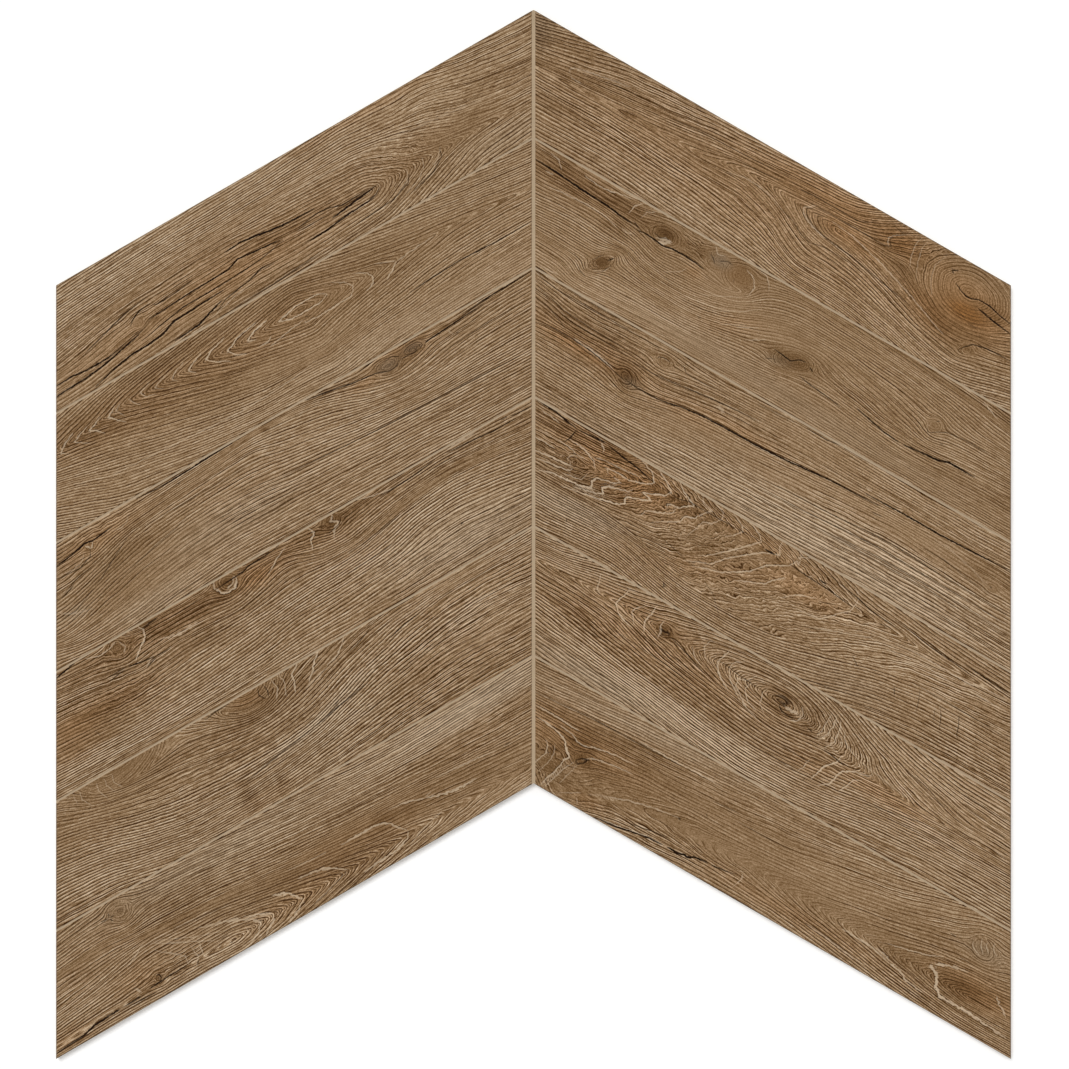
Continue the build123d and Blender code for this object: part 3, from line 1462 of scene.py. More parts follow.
@dataclass
class Plank:
    """One porcelain plank with its printed face. Lengths are in millimetres."""

    place: PlankPlace
    grain: PlankGrain
    number: int
    is_last: bool = False
    columns: int = 280
    rows: int = 116
    noise_step: float = 7.3
    arris: float = 0.5
    wander: float = 0.35
    ripple: float = 0.6
    relief: float = 0.12
    rim: float = 8.0
    rib: float = 5.0
    pocket_length: float = 30.0
    pocket_width: float = 25.0
    pocket_depth: float = 0.7

    def face_places(self, inset: float) -> tuple[np.ndarray, np.ndarray]:
        """The face sheet's points in the plank's own millimetres.

        Args:
            inset: How far the sheet stops inside the plank's outline.

        Returns:
            s and t, one row of the sheet after another.
        """
        u, v = np.meshgrid(np.linspace(0, 1, self.columns + 1), np.linspace(0, 1, self.rows + 1))
        t = inset + v * (self.place.width - 2 * inset)
        end = inset / cos(SLOPE)
        s = end + u * (self.place.length - 2 * end) + t * tan(SLOPE)
        return s, t

    def face_sheet(self) -> bpy.types.Mesh:
        """Works out the grain at every point of the flat face.

        Returns:
            The face as a mesh that carries the grain's values.
        """
        s, t = self.face_places(self.arris)
        x, y = self.place.on_panel(s, t)
        z = np.full_like(x, self.place.thickness * MM)
        wide = self.columns + 1
        first = (np.arange(self.rows)[:, None] * wide + np.arange(self.columns)).ravel()
        quads = np.stack([first, first + 1, first + wide + 1, first + wide], 1)
        mesh = bpy.data.meshes.new(self.place.node)
        mesh.from_pydata(np.stack([x, y, z], -1).reshape(-1, 3).tolist(), [], quads.tolist())

        drawing = GrainField(self.grain)
        tones = drawing.tones(s, t)
        outer_x, outer_y = self.place.on_panel(*self.face_places(0.0))
        is_border = np.zeros(s.shape, bool)
        is_border[[0, -1], :] = True
        is_border[:, [0, -1]] = True
        outward = np.stack([outer_x - x, outer_y - y, np.full_like(x, -self.arris * MM)], -1)
        vectors = {
            "place": np.stack([s, t, np.full_like(s, self.number * self.noise_step)], -1),
            "tone": np.stack([tones[Tone.WARM], tones[Tone.GREY], tones[Tone.DARK]], -1),
            "lining": np.stack([tones[Tone.LIMED], tones[Tone.INKED], tones[Tone.SOFT]], -1),
            "crack": drawing.marks(Ink.CRACK, s, t),
            "lime": drawing.marks(Ink.LIME, s, t),
            "arris": outward * is_border[..., None],
        }
        rings = drawing.ring(s, t) / self.grain.pitch
        rise_along = np.gradient(rings, axis=1) / np.gradient(s, axis=1)
        rise_down = np.gradient(rings, axis=0) / np.gradient(t, axis=0) - rise_along * tan(SLOPE)
        numbers = {
            "ring": rings,
            "slope": np.hypot(rise_along, rise_down),
            "edge": self.outer_edge(s),
            "ripple": tones[Tone.RIPPLE],
        }
        self.keep(mesh, vectors, "FLOAT_VECTOR", "vector")
        self.keep(mesh, numbers, "FLOAT", "value")
        return mesh

    def outer_edge(self, s: np.ndarray) -> np.ndarray:
        """Marks the plank's edges that are the panel's own edges.

        Args:
            s: Places along the plank.

        Returns:
            1 or more at such an edge and 0 elsewhere.
        """
        edge = np.zeros_like(s)
        edge[:, -1] = 1.0
        edge[0, :] += self.place.row == 0
        edge[-1, :] += self.is_last
        return edge

    @staticmethod
    def keep(mesh: bpy.types.Mesh, values: dict[str, np.ndarray], kind: str, field: str) -> None:
        """Stores values at the points of a mesh.

        Args:
            mesh: The mesh.
            values: The values by name.
            kind: Their data type.
            field: What Blender calls one value of that type.
        """
        for name, value in values.items():
            layer = mesh.attributes.new(name, kind, "POINT")
            layer.data.foreach_set(field, value.astype(np.float32).ravel())

    def pockets(self, whole: float, target: float) -> int:
        """Counts the pockets that fill a length.

        Args:
            whole: The length with its rims.
            target: A pocket's size, about.

        Returns:
            How many pockets there are.
        """
        slant = 1 / cos(SLOPE)
        room = whole - 2 * self.rim * slant
        return max(1, round((room + self.rib * slant) / (target * slant + self.rib * slant)))

    def build(self, tree: PlankTree, finishes: dict[str, Material]) -> bpy.types.Object:
        """Makes the plank and puts it in the frame.

        Args:
            tree: The tree that makes the body round the face.
            finishes: The materials by name.

        Returns:
            The finished piece.
        """
        piece = bpy.data.objects.new(self.place.node + "_printed", self.face_sheet())
        bpy.context.scene.collection.objects.link(piece)
        length, width = self.place.length, self.place.width
        slant = 1 / cos(SLOPE)
        mitre = width * slant
        values = {
            "Thickness": self.place.thickness * MM,
            "Arris": self.arris * MM,
            "Wander": self.wander,
            "Ripple": self.ripple,
            "Relief": self.relief * MM,
            "Number": float(self.number),
            "Along": self.place.direction(length, 0),
            "Down": self.place.direction(width * tan(SLOPE), width),
            "Corner": Vector((*self.place.on_panel(0.0, 0.0), 0)),
            "Rim": self.rim * slant / length,
            "Rib Along": self.rib * slant / length,
            "Rim Down": self.rim * slant / mitre,
            "Rib Down": self.rib * slant / mitre,
            "Pockets Along": self.pockets(length, self.pocket_length),
            "Pockets Down": self.pockets(mitre, self.pocket_width),
            "Pocket Depth": self.pocket_depth * MM,
            "Print": finishes["print"],
            "Body": finishes["biscuit"],
        }
        run_tree(piece, tree.tree, values)
        BakeMap(self.place).apply(piece.data)
        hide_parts(self.place.node)
        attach(piece, "root")
        return piece


class GroutTree:
    """The Geometry Nodes tree that fills the joints of the whole panel."""

    centre_cuts: int = 480
    side_cuts: int = 250
    grains_in_metre: float = 1200.0

    def __init__(self) -> None:
        """Builds the tree."""
        strip = self.strip_group()
        inputs = {
            "Geometry": "NodeSocketGeometry",
            "Height": 0.0086,
            "Dish": 0.0002,
            "Grit": 0.00005,
            "Centre Start": "NodeSocketVector",
            "Centre Run": "NodeSocketVector",
            "Centre Across": "NodeSocketVector",
            "Centre Kink": 0.577,
            "Right Start": "NodeSocketVector",
            "Right Run": "NodeSocketVector",
            "Left Start": "NodeSocketVector",
            "Left Run": "NodeSocketVector",
            "Side Across": "NodeSocketVector",
            "Row Step": "NodeSocketVector",
            "Joints": 5,
            "Material": "NodeSocketMaterial",
        }
        outputs = {"Geometry": "NodeSocketGeometry"}
        self.tree, w, source, target = new_group("grout_lattice", "GeometryNodeTree", inputs, outputs)
        shared = {"Height": source["Height"], "Dish": source["Dish"]}
        centre = shared | {"Cuts": self.centre_cuts}
        centre |= {name: source[f"Centre {name}"] for name in ("Start", "Run", "Across", "Kink")}
        strips = [use_group(w, strip, centre)["Geometry"]]
        for half in ("Right", "Left"):
            side = shared | {"Across": source["Side Across"], "Cuts": self.side_cuts}
            side |= {name: source[f"{half} {name}"] for name in ("Start", "Run")}
            one = use_group(w, strip, side)["Geometry"]
            rows = w.add("GeometryNodeMeshLine", {"Count": source["Joints"], "Offset": source["Row Step"]})
            made = w.add("GeometryNodeInstanceOnPoints", {"Points": rows.outputs[0], "Instance": one})
            strips.append(made.outputs[0])
        real = w.add("GeometryNodeRealizeInstances", {0: w.geometry(*strips)}).outputs[0]
        position = w.add("GeometryNodeInputPosition").outputs[0]
        is_high = w.math("GREATER_THAN", w.parts(position)[2], w.times(source["Height"], 0.5))
        rough = w.times(w.noise(w.scaled(position, self.grains_in_metre), 1.0), source["Grit"])
        drop = w.vector(0.0, 0.0, w.times(rough, is_high, -1.0))
        dressed = {0: w.moved(real, Offset=drop), "Material": source["Material"]}
        w.feed(target.inputs["Geometry"], w.add("GeometryNodeSetMaterial", dressed).outputs[0])

    def strip_group(self) -> Tree:
        """One joint's strip, with a top that dips in the middle and ends that may be cut to a V.

        Returns:
            A group that puts out the strip.
        """
        inputs = {
            "Start": "NodeSocketVector",
            "Run": "NodeSocketVector",
            "Across": "NodeSocketVector",
            "Kink": 0.0,
            "Height": 0.0086,
            "Dish": 0.0002,
            "Cuts": 250,
        }
        outputs = {"Geometry": "NodeSocketGeometry"}
        group, w, source, target = new_group("joint_strip", "GeometryNodeTree", inputs, outputs)
        inputs = {"Size": (1.0, 1.0, 1.0), "Vertices X": source["Cuts"], "Vertices Y": 5, "Vertices Z": 2}
        block = w.add("GeometryNodeMeshCube", inputs).outputs[0]
        x, y, z = w.parts(w.add("GeometryNodeInputPosition").outputs[0])
        along = w.scaled(source["Run"], w.plus(x, 0.5))
        aside = w.scaled(source["Across"], y)
        kink = w.times(w.math("ABSOLUTE", y), w.length(source["Across"]), source["Kink"])
        dip = w.times(w.minus(0.25, w.times(y, y)), 4.0)
        top = w.minus(source["Height"], w.times(dip, source["Dish"]))
        lift = w.times(w.math("GREATER_THAN", z, 0.0), top)
        shift = w.vector(0.0, w.times(kink, -1.0), lift)
        place = w.joined(along, aside, source["Start"], shift)
        w.feed(target.inputs["Geometry"], w.moved(block, Position=place))
        return group


@dataclass
class Grout:
    """The grout in the centre joint and the side joints."""

    places: list[PlankPlace]
    dish: float = 0.2
    grit: float = 0.06
    node: str = "grout"

    def build(self, finish: Material) -> bpy.types.Object:
        """Makes the grout and puts it in the frame.

        Args:
            finish: Its material.

        Returns:
            The finished piece.
        """
        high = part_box(self.node)[1]
        right = [place for place in self.places if place.side > 0]
        left = [place for place in self.places if place.side < 0]
        first = right[0]
        mitre = first.width / cos(SLOPE)
        step = (right[0].corners[1].y - right[1].corners[1].y) / MM
        gap = step - mitre
        notch = right[-1].corners[1].y - (mitre - first.inner * tan(SLOPE)) * MM
        piece = bpy.data.objects.new("grout_lattice", bpy.data.meshes.new("grout_lattice"))
        bpy.context.scene.collection.objects.link(piece)
        values = {
            "Height": high.z,
            "Dish": self.dish * MM,
            "Grit": self.grit * MM,
            "Centre Start": Vector((0, high.y, 0)),
            "Centre Run": Vector((0, notch - high.y, 0)),
            "Centre Across": Vector((2 * first.inner * MM, 0, 0)),
            "Centre Kink": tan(SLOPE),
            "Side Across": Vector((0, -gap * MM, 0)),
            "Row Step": Vector((0, -step * MM, 0)),
            "Joints": len(right) - 1,
            "Material": finish,
        }
        for half, place in (("Right", right[0]), ("Left", left[0])):
            x, y = place.on_panel(0.0, 0.0)
            values[f"{half} Start"] = Vector((x, y - (mitre + gap / 2) * MM, 0))
            values[f"{half} Run"] = place.direction(first.length, 0)
        run_tree(piece, GroutTree().tree, values)
        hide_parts(self.node)
        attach(piece, "root")
        return piece


@dataclass
class Studio:
    """The white floor, the plain light and the camera straight above the panel."""

    frame_pixels: float = 1069.0
    object_left: float = 55.0
    object_right: float = 1012.0
    object_top: float = 10.7
    object_bottom: float = 1058.0
    floor_half: float = 6.0
    floor_gap: float = 0.0002
    floor_white: float = 0.97
    floor_glow: float = 0.08
    clear_reach: float = 0.005
    lens: float = 100.0
    sensor: float = 36.0
    clip_in_distances: float = 4.0
    sky: float = 0.55
    sun: float = 1.6
    sun_spread: float = 25.0
    sun_lean: float = 24.0
    sun_turn: float = 35.0

    def build(self) -> None:
        """Makes the camera, the floor and the lights."""
        self.camera()
        self.floor()
        self.lights()

    def camera(self) -> None:
        """Puts the camera where the panel fills the frame as in the photograph."""
        low, high = CAD_BOX
        wide = (high.x - low.x) / (self.object_right - self.object_left)
        tall = (high.y - low.y) / (self.object_bottom - self.object_top)
        pixel = (wide + tall) / 2
        off_x = self.frame_pixels / 2 - (self.object_left + self.object_right) / 2
        off_y = self.frame_pixels / 2 - (self.object_top + self.object_bottom) / 2
        data = bpy.data.cameras.new("camera")
        data.lens, data.sensor_width = self.lens, self.sensor
        camera = bpy.data.objects.new("camera", data)
        bpy.context.scene.collection.objects.link(camera)
        distance = pixel * self.frame_pixels * self.lens / self.sensor
        middle = (low + high) / 2
        camera.location = (middle.x + off_x * pixel, middle.y - off_y * pixel, high.z + distance)
        data.clip_end = distance * self.clip_in_distances
        bpy.context.scene.camera = camera

    def floor(self) -> None:
        """Lays the floor that the panel rests on, clear from below and to the panel's back."""
        half, white = self.floor_half, self.floor_white
        mesh = bpy.data.meshes.new("floor")
        corners = [(-half, -half, 0), (half, -half, 0), (half, half, 0), (-half, half, 0)]
        mesh.from_pydata(corners, [], [(0, 1, 2, 3)])
        floor = bpy.data.objects.new("floor", mesh)
        floor.location.z = -self.floor_gap
        bpy.context.scene.collection.objects.link(floor)
        material, w, shader = new_material("white_floor", 1.0, 0.0)
        shader.inputs["Base Color"].default_value = (white, white, white, 1)
        path = w.add("ShaderNodeLightPath").outputs
        shader.inputs["Emission Color"].default_value = (1, 1, 1, 1)
        w.feed(shader.inputs["Emission Strength"], w.times(path["Is Camera Ray"], self.floor_glow))
        below = w.add("ShaderNodeNewGeometry").outputs["Backfacing"]
        under_panel = w.math("LESS_THAN", path["Ray Length"], self.clear_reach)
        clear = w.add("ShaderNodeBsdfTransparent").outputs[0]
        hidden = w.math("MAXIMUM", below, under_panel)
        mixed = w.add("ShaderNodeMixShader", {0: hidden, 1: shader.outputs[0], 2: clear})
        out = material.node_tree.nodes["Material Output"]
        w.feed(out.inputs["Surface"], mixed.outputs[0])
        mesh.materials.append(material)

    def lights(self) -> None:
        """Lights the panel evenly, with a soft lean from the upper left."""
        world = bpy.data.worlds.new("sky")
        world.use_nodes = True
        w = Wiring(world.node_tree)
        sky = world.node_tree.nodes["Background"]
        sky.inputs["Color"].default_value = (1, 1, 1, 1)
        path = w.add("ShaderNodeLightPath").outputs
        seen = w.math("MAXIMUM", path["Is Camera Ray"], path["Is Glossy Ray"])
        w.feed(sky.inputs["Strength"], w.mapped(seen, 0.0, 1.0, self.sky, 1.0))
        bpy.context.scene.world = world
        data = bpy.data.lights.new("sun", "SUN")
        data.energy, data.angle = self.sun, radians(self.sun_spread)
        sun = bpy.data.objects.new("sun", data)
        sun.rotation_euler = (radians(-self.sun_lean), 0, radians(self.sun_turn))
        bpy.context.scene.collection.objects.link(sun)
        settings = bpy.context.scene.view_settings
        settings.view_transform = "Standard"


LEFT_1 = PlankGrain(
    guides=tracks(
        (0, 4, 60, 2, 120, -6, 150, -3, 200, 4, 285, 9, 400, 12, 500, 17, 560, 20),
        (20, 30, 70, 27, 118, 19, 135, 20, 160, 25, 200, 26, 285, 26, 400, 28, 500, 34, 560, 40),
        (30, 48, 60, 47, 100, 43, 140, 38, 170, 36, 285, 34, 400, 37, 500, 44, 560, 52),
        (40, 62, 100, 60, 150, 58, 180, 54, 210, 50, 285, 47, 340, 43, 400, 45, 480, 50, 560, 63),
        (60, 69, 130, 68, 200, 67, 285, 67, 330, 64, 400, 67, 440, 70, 480, 78, 520, 84, 560, 86),
        (50, 76, 100, 77, 140, 84, 180, 89, 285, 95, 400, 99, 480, 105, 560, 112),
    ),
    hearts=(
        Heart((212, 68), left=(1.7, 60)),
    ),
    knots=(
        Knot((451, 67), (4.5, 4)),
    ),
    strokes=strokes(Ink.CRACK,
        (2.3, 1, 196, 66, 212, 68, 236, 71, 252, 73),
        (2.1, 1, 200, 70, 206, 74, 216, 76, 240, 77, 262, 80, 290, 80, 330, 82),
        (1.5, 0.75, 197, 66, 238, 67, 250, 63, 262, 62, 290, 66),
        (1.5, 0.75, 256, 68, 280, 68, 290, 66, 306, 67),
        (2.1, 1, 262, 57, 290, 56, 308, 54, 318, 52, 335, 50, 352, 51),
        (1.5, 0.85, 300, 68, 322, 72, 345, 74, 372, 75, 410, 75, 440, 80, 458, 83),
        (1.7, 0.95, 275, 66, 305, 66, 335, 63, 345, 62, 357, 66, 400, 67, 440, 69, 451, 73, 470, 77),
        (2, 1, 470, 77, 490, 81, 514, 81, 530, 79, 548, 80),
        (2.2, 1, 440, 70, 460, 77, 480, 81, 500, 85, 520, 87, 548, 88, 556, 90),
        (1.5, 0.85, 275, 79, 312, 81, 330, 80, 345, 84, 372, 88, 385, 94),
        (2.2, 1, 370, 80, 400, 81, 424, 82, 437, 87, 455, 89, 470, 89, 490, 92, 515, 98),
        (2.1, 1, 375, 87, 392, 92, 405, 96, 432, 98),
        (1.5, 0.9, 390, 58, 410, 60, 430, 61, 432, 59),
        (1.5, 0.85, 434, 57, 446, 58, 455, 62, 460, 66),
        (1.5, 0.75, 432, 50, 460, 54, 490, 62, 508, 67),
        (1.5, 0.65, 275, 95, 330, 98, 372, 99),
        (1.5, 0.65, 135, 66, 137, 74, 150, 82, 176, 89),
        (1.5, 0.65, 170, 72, 176, 80, 195, 86, 240, 89),
    ) + strokes(Ink.LIME,
        (1.1, 0.45, 134, 65, 139, 72, 151, 80, 172, 87),
        (1.1, 0.45, 153, 66, 156, 74, 166, 82, 186, 88),
        (1.1, 0.4, 170, 68, 175, 77, 190, 84),
        (2.6, 0.22, 60, 50, 120, 42, 170, 37, 290, 33),
        (1.1, 0.45, 340, 87, 365, 90, 392, 97),
    ),
    patches=patches(Tone.WARM,
        (440, 80, 150, 18, 0.2), (320, 64, 200, 24, 0.2), (340, 70, 60, 14, 0.2), (180, 4, 90, 6, 0.3),
    ) + patches(Tone.GREY,
        (80, 88, 50, 14, 0.4),
    ) + patches(Tone.DARK,
        (180, 70, 40, 11, 0.35), (235, 8, 45, 10, 0.25), (100, 62, 50, 12, 0.12), (200, 10, 200, 22, -0.15),
        (430, 14, 110, 22, -0.15), (120, 84, 90, 14, 0.15), (320, 62, 160, 18, 0.08),
        (60, 38, 60, 8, 0.25, -4), (95, 54, 30, 6, 0.3, -5), (290, 60, 70, 12, 0.3), (310, 98, 90, 8, 0.25),
    ) + patches(Tone.INKED,
        (470, 52, 70, 16, 0.6, 12),
    ) + patches(Tone.RIPPLE,
        (175, 55, 45, 14, 0.9), (160, 18, 35, 16, 0.5),
    ) + patches(Tone.SOFT,
        (108, 61, 66, 15, 0.65), (440, 82, 150, 20, 0.55), (470, 14, 80, 20, -0.3),
    ),
    pitch=2.45,
    shade=-0.1,
)

LEFT_2 = PlankGrain(
    guides=tracks(
        (0, 14, 60, 8, 110, 2, 150, -3, 220, -6, 300, -6, 560, -4),
        (20, 38, 60, 34, 110, 31, 160, 33, 200, 32, 258, 29, 330, 28, 380, 25, 440, 23, 514, 30, 560, 34),
        (40, 64, 110, 62, 140, 63, 167, 65, 210, 66, 285, 68, 350, 67, 420, 64, 500, 58, 560, 50),
        (60, 80, 160, 79, 220, 77, 270, 76, 320, 81, 350, 82, 400, 80, 440, 77, 488, 73, 500, 70, 560, 60),
        (60, 98, 160, 97, 285, 97, 350, 99, 480, 98, 500, 94, 560, 80),
    ),
    hearts=(
        Heart((258, 28.5), left=(3.1, 90), right=(5.4, 700), roundness=1.3),
    ),
    strokes=strokes(Ink.CRACK,
        (1.5, 0.85, 38, 64, 75, 64, 110, 62, 140, 63, 167, 65),
        (0.9, 0.35, 166, 66, 190, 66, 212, 66),
        (2, 0.5, 256, 37, 259, 37),
        (1, 0.5, 372, 44, 390, 42, 398, 42),
        (1, 0.3, 380, 52, 420, 51, 460, 47),
    ) + strokes(Ink.LIME,
        (1.3, 0.85, 231, 28, 240, 23.5, 262, 23.5, 282, 28, 270, 32, 240, 32, 231, 28),
        (1.3, 0.6, 260, 38, 262, 41, 250, 42, 213, 41, 207, 34, 212, 27, 222, 22),
        (1.5, 0.6, 160, 33, 170, 40, 178, 44),
        (1.3, 0.5, 120, 31, 140, 32, 160, 34, 168, 31, 180, 26),
        (1.5, 0.65, 200, 25, 190, 30, 187, 36, 192, 42, 200, 44),
        (1.2, 0.55, 262, 38, 285, 41, 302, 44),
        (1.2, 0.5, 294, 36, 300, 39, 310, 39),
        (1.8, 0.75, 290, 21, 305, 24, 315, 29, 308, 32),
        (1.5, 0.7, 300, 18, 322, 22, 336, 28, 331, 35, 322, 39),
        (1.5, 0.7, 332, 16, 348, 20, 357, 25, 350, 31, 338, 37),
        (1.4, 0.6, 356, 17, 368, 21, 376, 26, 370, 31),
        (1.2, 0.5, 375, 17, 386, 20, 393, 25, 388, 29),
        (1.1, 0.4, 392, 18, 404, 21, 410, 24, 404, 28),
        (1.2, 0.5, 412, 18, 424, 21, 421, 27, 412, 29),
        (1.2, 0.5, 436, 20, 433, 26, 429, 31),
        (1.2, 0.5, 444, 20, 451, 24, 446, 32),
        (1.5, 0.65, 450, 20, 460, 26, 455, 31, 448, 38),
        (1.4, 0.6, 466, 22, 481, 28, 474, 32, 470, 37),
        (1.3, 0.5, 480, 23, 498, 30, 486, 38),
        (1.5, 0.65, 495, 22, 508, 28, 514, 33, 508, 36),
        (1.2, 0.45, 270, 76, 300, 80, 350, 82, 400, 79, 440, 76, 487, 73, 500, 68, 515, 65),
    ),
    patches=patches(Tone.WARM,
        (380, 30, 180, 26, 0.3),
    ) + patches(Tone.GREY,
        (180, 90, 130, 12, 0.3),
    ) + patches(Tone.DARK,
        (60, 80, 60, 24, -0.18), (430, 22, 50, 14, -0.15), (270, 14, 70, 12, 0.1), (300, 12, 140, 20, 0.25),
        (500, 14, 40, 20, 0.1), (250, 38, 90, 14, 0.2), (490, 38, 60, 16, 0.2), (180, 88, 160, 14, -0.25),
        (420, 88, 140, 14, -0.12), (420, 10, 90, 12, 0.4, 8), (420, 30, 110, 14, 0.4),
        (340, 50, 60, 8, 0.4), (180, 28, 20, 8, 0.3),
    ) + patches(Tone.LIMED,
        (60, 40, 50, 30, 0.25),
    ) + patches(Tone.RIPPLE,
        (440, 28, 50, 10, 0.3),
    ) + patches(Tone.SOFT,
        (220, 10, 180, 18, 0.2), (225, 34, 80, 14, 0.5), (100, 32, 70, 16, 0.3), (290, 62, 160, 12, 0.4),
        (150, 88, 140, 16, 0.4),
    ),
    pitch=2.05,
    soft=0.15,
    shade=-0.02,
)

LEFT_3 = PlankGrain(
    guides=tracks(
        (0, -2, 60, 1, 120, 4, 160, 6, 200, 2, 250, -5, 560, -5),
        (10, 20, 60, 21, 110, 25, 150, 28, 180, 25, 210, 16, 240, 8, 285, 4, 400, 10, 480, 15, 560, 20),
        (20, 42, 80, 42, 130, 43, 170, 40, 200, 36, 240, 30, 285, 22, 300, 17, 350, 19, 400, 22, 440, 26,
         460, 31, 500, 42, 530, 46, 560, 45),
        (45, 63, 130, 59, 200, 56, 285, 50, 320, 46, 370, 46, 400, 48, 440, 54, 480, 62, 530, 74, 560, 72),
        (50, 85, 100, 84, 170, 80, 285, 76, 350, 75, 400, 78, 450, 84, 500, 90, 530, 89, 560, 80),
        (60, 100, 285, 96, 370, 94, 420, 98, 480, 104, 560, 104),
    ),
    knots=(
        Knot((157, 11), (13, 7), -6), Knot((130, 9), (11, 5), 5), Knot((474, 17), (5, 4)),
    ),
    strokes=strokes(Ink.CRACK,
        (1.7, 0.95, 1, 1, 20, 1.5, 45, 2, 75, 4),
        (1.7, 0.95, 53, 5, 85, 7, 118, 9, 130, 12, 145, 11),
        (1.4, 0.8, 118, 9, 122, 8, 126, 11),
        (1.5, 0.85, 146, 11, 150, 15, 159, 15, 170, 11, 195, 8, 215, 4, 245, -1),
        (1, 0.6, 146, 13, 143, 9, 150, 5, 158, 6),
        (1.2, 0.7, 166, 0, 182, 2),
        (1.7, 1, 293, -0.5, 340, 0.9, 363, 1.9, 381, 2.4, 396, 2.2, 417, 0.8),
        (1, 0.5, 382, 0, 397, 0),
        (2, 0.6, 374, 8, 377, 8),
        (2.2, 0.8, 86, 16, 89, 16),
        (1.4, 0.65, 40, 63, 80, 61, 130, 59, 200, 56, 290, 50),
        (1.1, 0.4, 20, 22, 60, 22, 120, 25),
        (1.8, 0.95, 448, 12, 470, 14, 476, 12.5, 500, 17, 512, 18),
        (1.1, 0.7, 474, 16, 478, 25, 492, 30, 510, 29, 518, 27),
        (1.1, 0.7, 481, 34, 500, 37, 525, 46),
        (1.6, 0.8, 505, 41, 520, 45, 528, 44),
        (1.1, 0.6, 440, 27, 462, 38, 480, 48, 486, 50),
        (1.1, 0.55, 490, 52, 515, 62, 530, 62),
        (0.9, 0.35, 275, 25, 297, 25, 340, 26, 400, 26, 445, 25),
        (1, 0.45, 380, 36, 397, 42, 420, 46, 450, 53),
        (0.9, 0.35, 230, 9, 285, 7),
        (0.9, 0.35, 300, 16, 320, 18, 360, 18),
    ) + strokes(Ink.LIME,
        (1.8, 0.7, 470, 15, 474, 19, 478, 15),
        (1.2, 0.4, 482, 20, 487, 26, 497, 28, 511, 27),
        (1.2, 0.3, 430, 10, 434, 15, 441, 17, 452, 15),
        (2.4, 0.3, 500, 68, 520, 62, 530, 55),
        (1.2, 0.4, 94, 10, 91, 15),
    ),
    patches=patches(Tone.WARM,
        (140, 8, 40, 10, 0.3), (450, 10, 60, 12, 0.3), (140, 4, 40, 6, 0.3), (185, 14, 20, 5, 0.4),
        (470, 18, 50, 12, 0.25),
    ) + patches(Tone.GREY,
        (350, 62, 80, 20, 0.5), (157, 10, 14, 7, 0.9), (130, 7, 12, 5, 0.8), (440, 90, 60, 14, 0.5),
        (515, 64, 14, 8, 0.5),
    ) + patches(Tone.DARK,
        (100, 82, 100, 20, 0.22), (300, 68, 50, 10, 0.22), (110, 6, 60, 9, 0.18), (140, 12, 24, 12, 0.3),
        (280, 14, 70, 14, -0.1), (500, 12, 40, 18, 0.25), (240, 36, 120, 16, -0.12),
        (220, 62, 60, 12, -0.1), (430, 86, 50, 14, -0.1), (157, 10, 14, 7, 0.3), (130, 7, 12, 5, 0.35),
        (220, 6, 7, 6, 0.45), (283, 3, 5, 6, 0.6), (460, 45, 60, 22, 0.35, 20),
    ) + patches(Tone.LIMED,
        (250, 60, 120, 6, 0.45, -5), (160, 86, 130, 14, 0.35), (340, 82, 80, 16, 0.35),
    ) + patches(Tone.INKED,
        (490, 45, 50, 14, 0.5, 25),
    ) + patches(Tone.RIPPLE,
        (452, 6, 42, 8, 1),
    ) + patches(Tone.SOFT,
        (440, 60, 90, 40, 0.55), (310, 60, 50, 12, -0.4), (120, 60, 90, 14, -0.25),
    ),
    pitch=2.5,
    soft=-0.05,
    shade=-0.05,
)

